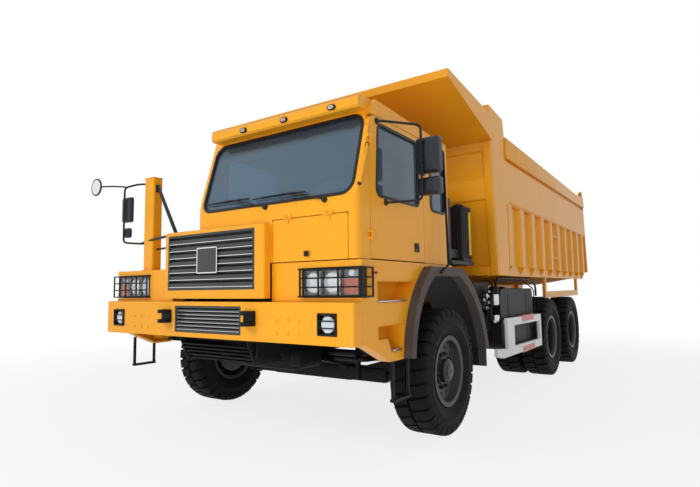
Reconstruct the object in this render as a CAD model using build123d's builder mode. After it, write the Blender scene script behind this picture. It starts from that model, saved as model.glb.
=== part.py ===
import math
import os
from build123d import *

os.makedirs("parts", exist_ok=True)

# Mining dump truck, in millimetres. +X is the cab side, +Y runs from the bumper to the tail, +Z is up.
# The origin is on the ground, on the centre line, half way along the truck.
bumper_y = -4645
tail_y = 4745
seat_gap = 0.3          # between pieces that rest on each other
pin_gap = 0.3           # round a hinge pin
door_gap = 6            # round doors and hatches

# Wheels and tyres
wheel_radius = 625
tyre_width = 395
rim_radius = 349
rim_seat_radius = 322
rim_width = 320
front_axle_y = bumper_y + 1647
second_axle_y = bumper_y + 5714
third_axle_y = bumper_y + 7359
front_track = 3105
rear_track_outer = 3245
dual_spacing = 439
hub_bore_radius = 48
hub_radius = 118
drum_radius = 240
lug_count = 16
lug_share = 0.6         # share of the pitch that a lug's top takes
lug_depth = 30
plain_tyre_sides = 12
bore_sides = 10
shoulder_x = 164
side_radius = 540
side_inner_radius = 480
bead_x = rim_width / 2 - 10 - seat_gap

# Frame rails and cross members
rail_outer_x = 520
rail_flange = 110
rail_sheet = 20
rail_bottom_z = 850
rail_top_z = 1240
rail_front_y = bumper_y + 150
rail_rear_y = tail_y - 640

# Bumper
bumper_half = 1667
bumper_bottom_z = 1018
bumper_top_z = 1357
bumper_depth = 135
bumper_sheet = 20
fog_x = 1420
fog_z = 1183
fog_width = 190
fog_height = 180
low_grille_half = 462
low_grille_bottom_z = 1062
low_grille_top_z = 1318

# Tow jaws
jaw_x = 580
jaw_z = 1215
jaw_reach = 100
jaw_width = 130
jaw_ear = 35
jaw_mouth = 60
jaw_bore_radius = 20
jaw_bore_y = bumper_y - 48

# Cab
cab_right_x = -270
cab_left_x = 1650
cab_wall = 45
cab_corner = 60
cab_front_y = bumper_y + 105
cab_rear_y = bumper_y + 1930
cab_floor_z = 1700
screen_base_z = 2190
roof_front_y = bumper_y + 345
roof_front_z = 3010
roof_rear_z = 3005
roof_peak_z = 3072
visor_front_y = bumper_y + 200
visor_left_x = 1610
visor_right_x = -180
visor_bottom_z = 2965
screen_low_z = 2235
screen_high_z = 2935
screen_left_x = 1590
screen_right_x = -210
screen_corner = 110
glass_sheet = 8

# Door, on the cab's left side, hinged at its front edge
door_front_y = bumper_y + 300
door_rear_y = bumper_y + 1286
door_bottom_z = 1706
door_top_z = 2925
door_corner = 90
door_hinge_out = 15
door_hinge_radius = 12
door_hinge_zs = (1900, 2700)
door_hinge_height = 90
hinge_gap = 0.5         # between the barrels of one hinge

# Hatch under the windscreen, hinged at its top edge
hatch_right_x = 745
hatch_left_x = 1556
hatch_top_z = 2072
hatch_sheet = 25
hatch_hinge_xs = (930, 1370)
hatch_hinge_out = 10
hatch_hinge_radius = 9

# Radiator housing and the deck beside the cab
hood_right_x = -670
hood_left_x = 720
hood_front_y = bumper_y + 20
hood_bottom_z = 1386
hood_top_z = 2055
hood_sheet = 20
grille_half = 610
grille_bottom_z = 1467
grille_top_z = 2015
grille_depth = 60
deck_top_z = 1690
deck_sheet = 16
body_rear_y = bumper_y + 1900

# Side housings with their steps, and the wheel arches
side_x = 1667
pod_sheet = 20
pod_front_y = bumper_y + 125
pod_top_z = 1694
pod_bottom_z = 845
pod_low_front_y = bumper_y + 554
pod_slope_z = 1034
step_back_x = 1490
pod_floor_x = 1560
pod_rear_foot_y = bumper_y + 775
lamp_inner_x = 1064
lamp_bottom_z = 1390
lamp_top_z = 1640
lamp_wrap = 95
arch_outer_x = 1750
arch_liner_x = 1190
arch_sheet = 12

# Dump bed
bed_half = 1800
bed_inner_half = bed_half - 110
bed_bottom_z = 1603
bed_floor_z = 1750
bed_floor_sheet = 40
bed_front_low_y = bumper_y + 3100
bed_front_top_y = bumper_y + 2900
bed_front_top_z = 3744
bed_wall = 60
bed_hinge_y = tail_y - 940
bed_hinge_z = 1330
bed_pin_radius = 45
bed_gap = 0.5
rib_out_x = bed_half
rib_base_x = bed_half - 60
rib_low_z = 1730
rib_top_z = 2560
rib_first_y = bumper_y + 3640
rib_pitch = 585
rib_count = 10
band_top_z = 3140
rail_top_front_z = 3466
gate_sheet = 60
gate_gap = 4
gate_top_z = 3440
gate_bottom_z = 1756
gate_lean = 212
gate_pin_y = tail_y - 260
gate_pin_z = 3520
gate_pin_radius = 20
canopy_lip_y = bumper_y + 1600
canopy_lip_z = bed_front_top_z - 4
canopy_fall = 130
canopy_root_depth = 320
canopy_lip_depth = 90
canopy_half = bed_half + 20

# Hoist between the cab and the bed
hoist_base_y = bumper_y + 2230
hoist_base_z = 1150
hoist_head_z = 3150
hoist_pin_radius = 32
hoist_fit = 0.5
# name of each tube, outer radius, how far its top stands out of the tube round it
hoist_tubes = (("hoist_barrel", 120, 0), ("hoist_stage_1", 104, 30), ("hoist_stage_2", 88, 30),
               ("hoist_stage_3", 72, 30))

# Tanks beside the frame
tank_inner_x = 1020
tank_outer_x = 1700
tank_front_y = bumper_y + 3380
tank_rear_y = bumper_y + 4940
tank_low_z = 640
tank_high_z = 1430
tank_corner = 90

# Steering
kingpin_x = 1240
kingpin_radius = 32
steer_arm = 260
steer_arm_z = 560
tie_rod_radius = 24


def side_section(x):
    """Plane at x seen from the cab side: its own axes are Y and Z."""
    return Plane((x, 0, 0), x_dir=(0, 1, 0), z_dir=(1, 0, 0))


def cross_section(y):
    """Plane at y seen from the front: its own axes are X and Z."""
    return Plane((0, y, 0), x_dir=(1, 0, 0), z_dir=(0, -1, 0))


def block(x0, x1, y0, y1, z0, z1, mode=Mode.ADD):
    """Box between two corners."""
    with Locations(((x0 + x1) / 2, (y0 + y1) / 2, (z0 + z1) / 2)):
        Box(abs(x1 - x0), abs(y1 - y0), abs(z1 - z0), mode=mode)


def side_plate(points, x0, x1, mode=Mode.ADD):
    """Plate between x0 and x1 whose outline is given in Y and Z."""
    with BuildSketch(side_section(min(x0, x1))) as outline:
        with BuildLine():
            Polyline(*points, close=True)
        make_face()
    extrude(outline.sketch, amount=abs(x1 - x0), mode=mode)


def cross_plate(points, y0, y1, mode=Mode.ADD):
    """Plate between y0 and y1 whose outline is given in X and Z."""
    with BuildSketch(cross_section(y0)) as outline:
        with BuildLine():
            Polyline(*points, close=True)
        make_face()
    extrude(outline.sketch, amount=-(y1 - y0), mode=mode)


def tube(start, end, radius, mode=Mode.ADD):
    """Round bar from one point to another."""
    line = Vector(*end) - Vector(*start)
    with BuildSketch(Plane(start, z_dir=line.normalized())) as section:
        Circle(radius)
    extrude(section.sketch, amount=line.length, mode=mode)


def lathe(profile, x, y, z):
    """Body turned about the X axis through x, y, z. The profile holds pairs of offset along X and radius."""
    with BuildSketch(Plane((x, y, z), x_dir=(1, 0, 0), z_dir=(0, -1, 0))) as profile_face:
        with BuildLine():
            Polyline(*profile, close=True)
        make_face()
    revolve(profile_face.sketch, axis=Axis((x, y, z), (1, 0, 0)))


sides = (("left", 1), ("right", -1))

# Frame: two channel rails, their cross members, the bed's hinge ears and the hoist's foot ears
cross_member_ys = (bumper_y + 200, bumper_y + 3300, bumper_y + 4700, bumper_y + 6536, bumper_y + 7900)
hinge_ear = (440, 500)
hinge_ear_radius = 85
foot_ear = (86, 116)
foot_pin_radius = 34

with BuildPart() as frame_rails:
    for side in (1, -1):
        web_x = rail_outer_x - rail_sheet
        lip_x = rail_outer_x - rail_flange
        channel = [(rail_outer_x, rail_bottom_z), (rail_outer_x, rail_top_z), (lip_x, rail_top_z),
                   (lip_x, rail_top_z - rail_sheet), (web_x, rail_top_z - rail_sheet),
                   (web_x, rail_bottom_z + rail_sheet), (lip_x, rail_bottom_z + rail_sheet),
                   (lip_x, rail_bottom_z)]
        cross_plate([(side * x, z) for x, z in channel], rail_front_y, rail_rear_y)
    for member_y in cross_member_ys:
        block(-rail_outer_x + rail_sheet, rail_outer_x - rail_sheet, member_y - 40, member_y + 40,
              rail_bottom_z + 130, rail_top_z - 60)
    block(-rail_outer_x + rail_sheet, rail_outer_x - rail_sheet, rail_rear_y - 30, rail_rear_y,
          rail_bottom_z + 60, rail_top_z - 60)
    block(-rail_outer_x + rail_sheet, rail_outer_x - rail_sheet, hoist_base_y - 90, hoist_base_y + 90,
          rail_top_z - 190, rail_top_z - 165)
    for side in (1, -1):
        for ear, centre_y, centre_z, low_z, radius, bore in (
                (hinge_ear, bed_hinge_y, bed_hinge_z, rail_top_z, hinge_ear_radius, bed_pin_radius),
                (foot_ear, hoist_base_y, hoist_base_z, rail_top_z - 190, 60, foot_pin_radius)):
            with BuildSketch(side_section(min(side * ear[0], side * ear[1]))):
                with Locations((centre_y, centre_z)):
                    Circle(radius)
                with Locations((centre_y, (centre_z + low_z) / 2)):
                    Rectangle(2 * radius, centre_z - low_z)
                with Locations((centre_y, centre_z)):
                    Circle(bore + pin_gap, mode=Mode.SUBTRACT)
            extrude(amount=ear[1] - ear[0])
frame_rails.part.label = "frame_rails"
export_step(frame_rails.part, "parts/frame_rails.step")

# Bumper: a pressed sheet box, open behind, with openings for the fog lamps and the lower grille
with BuildPart() as front_bumper:
    with BuildSketch(Plane.XY.offset(bumper_bottom_z)):
        with Locations((0, bumper_y + bumper_depth / 2)):
            Rectangle(2 * bumper_half, bumper_depth)
    extrude(amount=bumper_top_z - bumper_bottom_z)
    fillet(front_bumper.edges().filter_by(Axis.Z).group_by(Axis.Y)[0], 30)
    block(-bumper_half + bumper_sheet, bumper_half - bumper_sheet, bumper_y + bumper_sheet,
          bumper_y + bumper_depth, bumper_bottom_z + bumper_sheet, bumper_top_z - bumper_sheet,
          mode=Mode.SUBTRACT)
    with BuildSketch(cross_section(bumper_y)):
        with Locations((-fog_x, fog_z), (fog_x, fog_z)):
            Rectangle(fog_width, fog_height)
        with Locations((0, (low_grille_bottom_z + low_grille_top_z) / 2)):
            Rectangle(2 * low_grille_half, low_grille_top_z - low_grille_bottom_z)
    extrude(amount=-bumper_sheet, mode=Mode.SUBTRACT)
    for side in (1, -1):
        block(*sorted((side * (low_grille_half + 4), side * rail_outer_x)), bumper_y + bumper_sheet,
              rail_front_y - seat_gap, bumper_bottom_z + bumper_sheet, rail_top_z)
front_bumper.part.label = "front_bumper"
export_step(front_bumper.part, "parts/front_bumper.step")

# Tow jaws: two clevises on the bumper's face, each with an upright bore for a stranger's pin
with BuildPart() as tow_jaws:
    for side in (1, -1):
        centre_x = side * jaw_x
        height = 2 * jaw_ear + jaw_mouth
        with BuildSketch(Plane.XY.offset(jaw_z - height / 2)):
            with Locations((centre_x, bumper_y - jaw_reach + jaw_width / 2)):
                Circle(jaw_width / 2)
            with Locations((centre_x, bumper_y - (jaw_reach - jaw_width / 2) / 2)):
                Rectangle(jaw_width, jaw_reach - jaw_width / 2)
            with Locations((centre_x, bumper_y + jaw_width / 2)):
                Rectangle(2 * jaw_width, jaw_width, mode=Mode.SUBTRACT)
        extrude(amount=height)
        block(centre_x - jaw_width / 2, centre_x + jaw_width / 2, bumper_y - jaw_reach,
              bumper_y - 22, jaw_z - jaw_mouth / 2, jaw_z + jaw_mouth / 2, mode=Mode.SUBTRACT)
        with Locations((centre_x, jaw_bore_y, jaw_z)):
            Cylinder(jaw_bore_radius, height, mode=Mode.SUBTRACT)
tow_jaws.part.label = "tow_jaws"
export_step(tow_jaws.part, "parts/tow_jaws.step")

# Grilles: a dark frame with slats in the radiator housing, and a second one in the bumper
# half width, low z, high z, front y, pitch of its slats
grille_table = ((grille_half, grille_bottom_z, grille_top_z, hood_front_y, 72),
                (low_grille_half, low_grille_bottom_z, low_grille_top_z, bumper_y, 35))
grille_rim = 22
with BuildPart() as grilles:
    for half, low_z, high_z, front_y, slat_pitch in grille_table:
        outer = half - seat_gap
        block(-outer, outer, front_y, front_y + grille_depth, low_z + seat_gap, high_z - seat_gap)
        block(-outer + grille_rim, outer - grille_rim, front_y, front_y + grille_depth - 12,
              low_z + grille_rim, high_z - grille_rim, mode=Mode.SUBTRACT)
        slats = round((high_z - low_z - 2 * grille_rim) / slat_pitch)
        pitch = (high_z - low_z - 2 * grille_rim) / slats
        for slat in range(slats):
            base_z = low_z + grille_rim + pitch * slat
            side_plate([(front_y + 40, base_z + 4), (front_y + 6, base_z + 10),
                        (front_y + 6, base_z + pitch * 0.62), (front_y + grille_depth - 12, base_z + pitch * 0.9),
                        (front_y + grille_depth - 12, base_z + 4)], -outer + grille_rim, outer - grille_rim)
grilles.part.label = "grilles"
export_step(grilles.part, "parts/grilles.step")

# Radiator housing in front of the cab, with the engine cover that runs back beside it
with BuildPart() as hood:
    block(hood_right_x, hood_left_x, hood_front_y, cab_front_y - seat_gap, hood_bottom_z, hood_top_z)
    fillet(hood.edges().filter_by(Axis.Z).group_by(Axis.Y)[0], 25)
    fillet(hood.edges().filter_by(Axis.X).group_by(Axis.Y)[0].sort_by(Axis.Z)[-1], 25)
    block(hood_right_x + hood_sheet, hood_left_x - hood_sheet, hood_front_y + hood_sheet, cab_front_y,
          hood_bottom_z + hood_sheet, hood_top_z - hood_sheet, mode=Mode.SUBTRACT)
    block(-grille_half, grille_half, hood_front_y, hood_front_y + hood_sheet, grille_bottom_z, grille_top_z,
          mode=Mode.SUBTRACT)
    cover_left = cab_right_x - 10
    side_plate([(cab_front_y - 2, deck_top_z + seat_gap), (cab_front_y - 2, hood_top_z),
                (body_rear_y - 250, hood_top_z - 70), (body_rear_y, hood_top_z - 230),
                (body_rear_y, deck_top_z + seat_gap)], hood_right_x, cover_left)
    side_plate([(cab_front_y + 40, deck_top_z - 30), (cab_front_y + 40, hood_top_z - hood_sheet),
                (body_rear_y - 260, hood_top_z - 90), (body_rear_y - hood_sheet, hood_top_z - 245),
                (body_rear_y - hood_sheet, deck_top_z - 30)], hood_right_x + hood_sheet,
               cover_left - hood_sheet, mode=Mode.SUBTRACT)
hood.part.label = "hood"
export_step(hood.part, "parts/hood.step")

# Cab shell: floor, walls, inclined windscreen frame, roof and the lamp visor over the screen
screen_slope = (roof_front_y - cab_front_y) / (roof_front_z - screen_base_z)
screen_angle = math.degrees(math.atan(screen_slope))
screen_plane = Plane(((screen_left_x + screen_right_x) / 2,
                      cab_front_y + ((screen_low_z + screen_high_z) / 2 - screen_base_z) * screen_slope,
                      (screen_low_z + screen_high_z) / 2), x_dir=(1, 0, 0),
                     z_dir=(0, -math.cos(math.radians(screen_angle)), math.sin(math.radians(screen_angle))))
screen_run = (screen_high_z - screen_low_z) / math.cos(math.radians(screen_angle))
# Front edge, rear edge, bottom and top of the side windows, and of the rear one in X
right_window = (bumper_y + 480, bumper_y + 1600, 2320, 2860)
quarter_window = (bumper_y + 1450, bumper_y + 1800, 2240, 2870)
rear_window = (250, 1250, 2330, 2850)
window_corner = 60
door_window = ((bumper_y + 400, 2245), (bumper_y + 440, 2865), (bumper_y + 1190, 2865), (bumper_y + 1190, 2245))
door_window_corner = 45

hatch_hinge_z = hatch_top_z + door_gap / 2

with BuildPart() as cab_shell:
    side_plate([(cab_front_y, cab_floor_z), (cab_front_y, screen_base_z), (roof_front_y, roof_front_z),
                (roof_front_y + 60, roof_peak_z), (cab_rear_y, roof_rear_z), (cab_rear_y, cab_floor_z)],
               cab_right_x, cab_left_x)
    fillet(cab_shell.edges().filter_by(Axis.Z), cab_corner)
    side_plate([(cab_front_y + cab_wall, cab_floor_z + cab_wall), (cab_front_y + cab_wall, screen_base_z),
                (roof_front_y + cab_wall, roof_front_z), (roof_front_y + 90, roof_peak_z - cab_wall),
                (cab_rear_y - cab_wall, roof_rear_z - cab_wall), (cab_rear_y - cab_wall, cab_floor_z + cab_wall)],
               cab_right_x + cab_wall, cab_left_x - cab_wall, mode=Mode.SUBTRACT)
    side_plate([(visor_front_y, visor_bottom_z + 15), (visor_front_y, roof_peak_z - 25),
                (visor_front_y + 40, roof_peak_z), (roof_front_y + 70, roof_peak_z),
                (roof_front_y + 20, visor_bottom_z + 20), (roof_front_y - 10, visor_bottom_z),
                (visor_front_y + 20, visor_bottom_z)], visor_right_x, visor_left_x)
    with BuildSketch(screen_plane):
        RectangleRounded(screen_left_x - screen_right_x, screen_run, screen_corner)
    extrude(amount=55, both=True, mode=Mode.SUBTRACT)
    block(cab_left_x - cab_wall, cab_left_x, door_front_y - door_gap, door_rear_y + door_gap, cab_floor_z,
          door_top_z + door_gap, mode=Mode.SUBTRACT)
    for wall_x, window in ((cab_right_x, right_window), (cab_left_x - cab_wall, quarter_window)):
        with BuildSketch(side_section(wall_x)):
            with Locations(((window[0] + window[1]) / 2, (window[2] + window[3]) / 2)):
                RectangleRounded(window[1] - window[0], window[3] - window[2], window_corner)
        extrude(amount=cab_wall, mode=Mode.SUBTRACT)
    with BuildSketch(cross_section(cab_rear_y)):
        with Locations(((rear_window[0] + rear_window[1]) / 2, (rear_window[2] + rear_window[3]) / 2)):
            RectangleRounded(rear_window[1] - rear_window[0], rear_window[3] - rear_window[2], window_corner)
    extrude(amount=cab_wall, mode=Mode.SUBTRACT)
    block(hatch_right_x - door_gap, hatch_left_x + door_gap, cab_front_y, cab_front_y + hatch_sheet + door_gap,
          cab_floor_z, hatch_top_z + door_gap, mode=Mode.SUBTRACT)
    for hinge_z in door_hinge_zs:
        for end in (-1, 1):
            with Locations((cab_left_x + door_hinge_out, door_front_y, hinge_z + end * door_hinge_height / 3)):
                Cylinder(door_hinge_radius, door_hinge_height / 3 - hinge_gap)
            block(cab_left_x, cab_left_x + door_hinge_out, door_front_y - 40, door_front_y,
                  hinge_z + end * door_hinge_height / 3 - 14, hinge_z + end * door_hinge_height / 3 + 14)
    for hinge_x in hatch_hinge_xs:
        for end in (-1, 1):
            centre_x = hinge_x + end * door_hinge_height / 3
            with Locations(Location((centre_x, cab_front_y - hatch_hinge_out, hatch_hinge_z), (0, 90, 0))):
                Cylinder(hatch_hinge_radius, door_hinge_height / 3 - hinge_gap)
            block(centre_x - 12, centre_x + 12, cab_front_y - hatch_hinge_out, cab_front_y, hatch_hinge_z + 4,
                  hatch_hinge_z + 34)
cab_shell.part.label = "cab_shell"
export_step(cab_shell.part, "parts/cab_shell.step")

# Fixed glass: windscreen, side windows and rear window, each inside its opening
with BuildPart() as cab_glass:
    with BuildSketch(screen_plane.offset(-22)):
        RectangleRounded(screen_left_x - screen_right_x - 2 * seat_gap, screen_run - 2 * seat_gap,
                         screen_corner - seat_gap)
    extrude(amount=glass_sheet)
    for wall_x, window in ((cab_right_x, right_window), (cab_left_x - cab_wall, quarter_window)):
        with BuildSketch(side_section(wall_x + 18)):
            with Locations(((window[0] + window[1]) / 2, (window[2] + window[3]) / 2)):
                RectangleRounded(window[1] - window[0] - 2 * seat_gap, window[3] - window[2] - 2 * seat_gap,
                                 window_corner - seat_gap)
        extrude(amount=glass_sheet)
    with BuildSketch(cross_section(cab_rear_y - 18)):
        with Locations(((rear_window[0] + rear_window[1]) / 2, (rear_window[2] + rear_window[3]) / 2)):
            RectangleRounded(rear_window[1] - rear_window[0] - 2 * seat_gap,
                             rear_window[3] - rear_window[2] - 2 * seat_gap, window_corner - seat_gap)
    extrude(amount=glass_sheet)
cab_glass.part.label = "cab_glass"
export_step(cab_glass.part, "parts/cab_glass.step")

# Cab door with its window opening and hinge barrels
with BuildPart() as cab_door:
    with BuildSketch(side_section(cab_left_x - cab_wall)):
        with BuildLine():
            Polyline((door_front_y, door_bottom_z), (door_front_y, door_top_z), (door_rear_y, door_top_z),
                     (door_rear_y, door_bottom_z), close=True)
        door_face = make_face()
        fillet(door_face.vertices().group_by(Axis.Y)[-1].sort_by(Axis.Z)[0], door_corner)
        with BuildLine():
            Polyline(*door_window, close=True)
        make_face(mode=Mode.SUBTRACT)
    extrude(amount=cab_wall)
    fillet(cab_door.edges().filter_by(Axis.X).filter_by_position(Axis.Y, door_window[0][0] - 1,
           door_window[2][0] + 1), door_window_corner)
    for hinge_z in door_hinge_zs:
        with Locations((cab_left_x + door_hinge_out, door_front_y, hinge_z)):
            Cylinder(door_hinge_radius, door_hinge_height / 3 - hinge_gap)
        block(cab_left_x, cab_left_x + door_hinge_out, door_front_y, door_front_y + 60,
              hinge_z - 14, hinge_z + 14)
cab_door.part.label = "cab_door"
export_step(cab_door.part, "parts/cab_door.step")

with BuildPart() as door_glass:
    with BuildSketch(side_section(cab_left_x - cab_wall / 2 - glass_sheet / 2)):
        with BuildLine():
            Polyline(*door_window, close=True)
        pane = make_face()
        fillet(pane.vertices(), door_window_corner)
        offset(amount=-seat_gap, mode=Mode.REPLACE)
    extrude(amount=glass_sheet)
door_glass.part.label = "door_glass"
export_step(door_glass.part, "parts/door_glass.step")

# Hatch in the cab's front, under the windscreen
with BuildPart() as front_hatch:
    block(hatch_right_x, hatch_left_x, cab_front_y, cab_front_y + hatch_sheet, cab_floor_z, hatch_top_z)
    fillet(front_hatch.edges().filter_by(Axis.Y), 20)
    for hinge_x in hatch_hinge_xs:
        with Locations(Location((hinge_x, cab_front_y - hatch_hinge_out, hatch_hinge_z), (0, 90, 0))):
            Cylinder(hatch_hinge_radius, door_hinge_height / 3 - hinge_gap)
        block(hinge_x - 12, hinge_x + 12, cab_front_y - hatch_hinge_out, cab_front_y + 5, hatch_hinge_z - 44,
              hatch_hinge_z - 4)
front_hatch.part.label = "front_hatch"
export_step(front_hatch.part, "parts/front_hatch.step")

# Inside the cab: dashboard and seat bases, steering wheel on its column, two seats
driver_x = 1120
mate_x = 300
seat_base_z = 2010
seat_width = 520
with BuildPart() as cab_fittings:
    side_plate([(cab_front_y + cab_wall + seat_gap, 1990), (cab_front_y + cab_wall + seat_gap, screen_base_z - 10),
                (cab_front_y + 330, screen_base_z), (cab_front_y + 400, 2120), (cab_front_y + 330, 1960)],
               cab_right_x + cab_wall + seat_gap, cab_left_x - cab_wall - 2)
    block(driver_x - 420, driver_x + 320, cab_front_y + 100, cab_front_y + 180, cab_floor_z + cab_wall + seat_gap,
          1995)
    for seat_x in (driver_x, mate_x):
        block(seat_x - 200, seat_x + 200, bumper_y + 1060, bumper_y + 1440, cab_floor_z + cab_wall + seat_gap,
              seat_base_z)
cab_fittings.part.label = "cab_fittings"
export_step(cab_fittings.part, "parts/cab_fittings.step")

wheel_plane = Plane((driver_x, cab_front_y + 560, 2200), x_dir=(1, 0, 0),
                    z_dir=(0, math.sin(math.radians(35)), math.cos(math.radians(35))))
with BuildPart() as steering_wheel:
    with BuildSketch(Plane(wheel_plane.origin, x_dir=(1, 0, 0), z_dir=wheel_plane.y_dir * -1)):
        with Locations((230, 0)):
            RegularPolygon(16, 8)
    revolve(axis=Axis(wheel_plane.origin, wheel_plane.z_dir))
    with BuildSketch(wheel_plane.offset(-10)):
        Circle(55)
        Rectangle(440, 46)
        with Locations((0, -115)):
            Rectangle(46, 200)
    extrude(amount=16)
    with BuildSketch(wheel_plane.offset(-10)):
        Circle(38)
    extrude(amount=-640)
    block(driver_x - 60, driver_x + 60, cab_front_y + 100, cab_front_y + 400, cab_floor_z - 100,
          cab_floor_z + cab_wall + seat_gap, mode=Mode.SUBTRACT)
steering_wheel.part.label = "steering_wheel"
export_step(steering_wheel.part, "parts/steering_wheel.step")

with BuildPart() as seats:
    for seat_x in (driver_x, mate_x):
        side_plate([(bumper_y + 980, seat_base_z + seat_gap), (bumper_y + 980, seat_base_z + 110),
                    (bumper_y + 1390, seat_base_z + 120), (bumper_y + 1500, seat_base_z + 700),
                    (bumper_y + 1600, seat_base_z + 700), (bumper_y + 1530, seat_base_z + seat_gap)],
                   seat_x - seat_width / 2, seat_x + seat_width / 2)
    fillet(seats.edges().filter_by(Axis.X), 30)
seats.part.label = "seats"
export_step(seats.part, "parts/seats.step")


def arch_face(points, grow=0):
    """Face inside a wheel arch's outline, grown outward, seen from the side."""
    front_foot, front_mid, top_front, top_rear, rear_mid, rear_foot = points
    with BuildSketch(Plane.YZ) as opening:
        with BuildLine():
            ThreePointArc(front_foot, front_mid, top_front)
            Line(top_front, top_rear)
            ThreePointArc(top_rear, rear_mid, rear_foot)
            Line(rear_foot, front_foot)
        make_face()
        if grow:
            offset(amount=grow, mode=Mode.REPLACE)
    return opening.sketch


# Y and Z of the front foot, front arc, top's front and rear end, rear arc and rear foot
arch_outer = [(bumper_y + y, z) for y, z in ((790, 845), (935, 1350), (1240, 1665), (1985, 1665), (2480, 1300),
                                             (2745, 748))]
arch_inner = [(bumper_y + y, z) for y, z in ((868, 845), (1020, 1310), (1300, 1575), (1925, 1575), (2395, 1240),
                                             (2650, 748))]
flap_y = bumper_y + 2655
flap_sheet = 12
flap_bottom_z = 540
flap_inner_x = 1320
# Y behind the bumper's face and Z of each step well's corners
upper_well = ((360, 1518), (360, 1343), (870, 1343), (1035, 1518))
lower_well = ((367, 1149), (367, 1043), (514, 1043), (578, 926), (770, 926), (805, 1149))
well_sheet = 12


def well_face(corners, x, grow):
    """Face inside a step well's outline at x, grown outward, seen from the side."""
    with BuildSketch(side_section(x)) as well:
        with BuildLine():
            Polyline(*((bumper_y + y, z) for y, z in corners), close=True)
        make_face()
        if grow:
            offset(amount=grow, kind=Kind.INTERSECTION, mode=Mode.REPLACE)
    return well.sketch


for name, side in sides:
    # Side housing: front panel with the headlamp's corner, side skin with two step wells
    with BuildPart() as pod:
        skin = [(pod_front_y, bumper_top_z + seat_gap), (bumper_y + bumper_depth + seat_gap,
                bumper_top_z + seat_gap), (bumper_y + bumper_depth + seat_gap, pod_slope_z),
                (pod_low_front_y, pod_bottom_z), (body_rear_y, pod_bottom_z), (body_rear_y, pod_top_z),
                (pod_front_y, pod_top_z)]
        side_plate(skin, side * (side_x - pod_sheet), side * side_x)
        low_x, high_x = sorted((side * (hood_left_x if side > 0 else -hood_right_x) + side * 0.5, side * side_x))
        block(low_x, high_x, pod_front_y, pod_front_y + pod_sheet, bumper_top_z + seat_gap,
              pod_top_z if side > 0 else deck_top_z)
        side_plate([(bumper_y + bumper_depth + seat_gap, pod_slope_z), (pod_low_front_y, pod_bottom_z),
                    (pod_rear_foot_y, pod_bottom_z), (pod_rear_foot_y, pod_bottom_z + pod_sheet),
                    (pod_low_front_y + 5, pod_bottom_z + pod_sheet),
                    (bumper_y + bumper_depth + seat_gap, pod_slope_z + pod_sheet)],
                   side * pod_floor_x, side * (side_x - 1))
        for corners in (upper_well, lower_well):
            extrude(well_face(corners, min(side * (side_x - pod_sheet), side * side_x), well_sheet + seat_gap),
                    amount=pod_sheet, dir=(1, 0, 0), mode=Mode.SUBTRACT)
        lamp_cut = sorted((side * lamp_inner_x, side * (side_x + 1)))
        block(lamp_cut[0], lamp_cut[1], pod_front_y - 1, pod_front_y + lamp_wrap, lamp_bottom_z, lamp_top_z,
              mode=Mode.SUBTRACT)
        arch_cut = arch_face(arch_outer, 0.3).moved(Location((min(side * 1200, side * 1700), 0, 0)))
        extrude(arch_cut, amount=500, dir=(1, 0, 0), mode=Mode.SUBTRACT)
        block(*sorted((side * 1400, side * 1700)), bumper_y + 1000, bumper_y + 1950, pod_bottom_z - 10, 900,
              mode=Mode.SUBTRACT)
        if side < 0:
            block(-side_x + pod_sheet + seat_gap, hood_right_x - 0.5, pod_front_y + pod_sheet + seat_gap,
                  body_rear_y, deck_top_z - deck_sheet, deck_top_z)
    pod.part.label = f"side_pod_{name}"
    export_step(pod.part, f"parts/side_pod_{name}.step")

# Step wells: a pressed tray in each opening of the side housings, open to the outside
with BuildPart() as step_wells:
    for side in (1, -1):
        for corners in (upper_well, lower_well):
            with BuildPart(mode=Mode.PRIVATE) as well:
                extrude(well_face(corners, min(side * (step_back_x - well_sheet), side * side_x), well_sheet),
                        amount=side_x - step_back_x + well_sheet, dir=(1, 0, 0))
                extrude(well_face(corners, min(side * step_back_x, side * side_x), 0), amount=side_x - step_back_x,
                        dir=(1, 0, 0), mode=Mode.SUBTRACT)
            add(well.part)
step_wells.part.label = "step_wells"
export_step(step_wells.part, "parts/step_wells.step")

# Wheel arches: rubber trim round each opening, liner over the wheel and the flap behind it
with BuildPart() as fenders:
    for side in (1, -1):
        with BuildPart(mode=Mode.PRIVATE) as fender:
            trim_x = side_x - 20 if side > 0 else -arch_outer_x
            extrude(arch_face(arch_outer).moved(Location((trim_x, 0, 0))), amount=arch_outer_x - side_x + 20,
                    dir=(1, 0, 0))
            extrude(arch_face(arch_inner).moved(Location((trim_x, 0, 0))), amount=arch_outer_x - side_x + 20,
                    dir=(1, 0, 0), mode=Mode.SUBTRACT)
            liner_x = arch_liner_x if side > 0 else -(side_x - 20)
            extrude(arch_face(arch_inner, arch_sheet).moved(Location((liner_x, 0, 0))),
                    amount=side_x - 20 - arch_liner_x, dir=(1, 0, 0))
            extrude(arch_face(arch_inner).moved(Location((liner_x, 0, 0))), amount=side_x - 20 - arch_liner_x,
                    dir=(1, 0, 0), mode=Mode.SUBTRACT)
            front_foot, rear_foot = arch_inner[0], arch_inner[-1]
            foot_slope = (front_foot[1] - rear_foot[1]) / (front_foot[0] - rear_foot[0])
            side_plate([(front_foot[0] - 200, front_foot[1] - 200 * foot_slope),
                        (rear_foot[0] + 200, rear_foot[1] + 200 * foot_slope), (rear_foot[0] + 200, 500),
                        (front_foot[0] - 200, 500)], side * (arch_liner_x - 10), side * (arch_outer_x + 10),
                       mode=Mode.SUBTRACT)
            side_plate([(flap_y, flap_bottom_z), (flap_y + flap_sheet, flap_bottom_z),
                        (flap_y + flap_sheet, rear_foot[1] + 30), (flap_y, rear_foot[1] + 30)],
                       side * flap_inner_x, side * (arch_outer_x - 6))
        add(fender.part)
fenders.part.label = "fenders"
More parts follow.
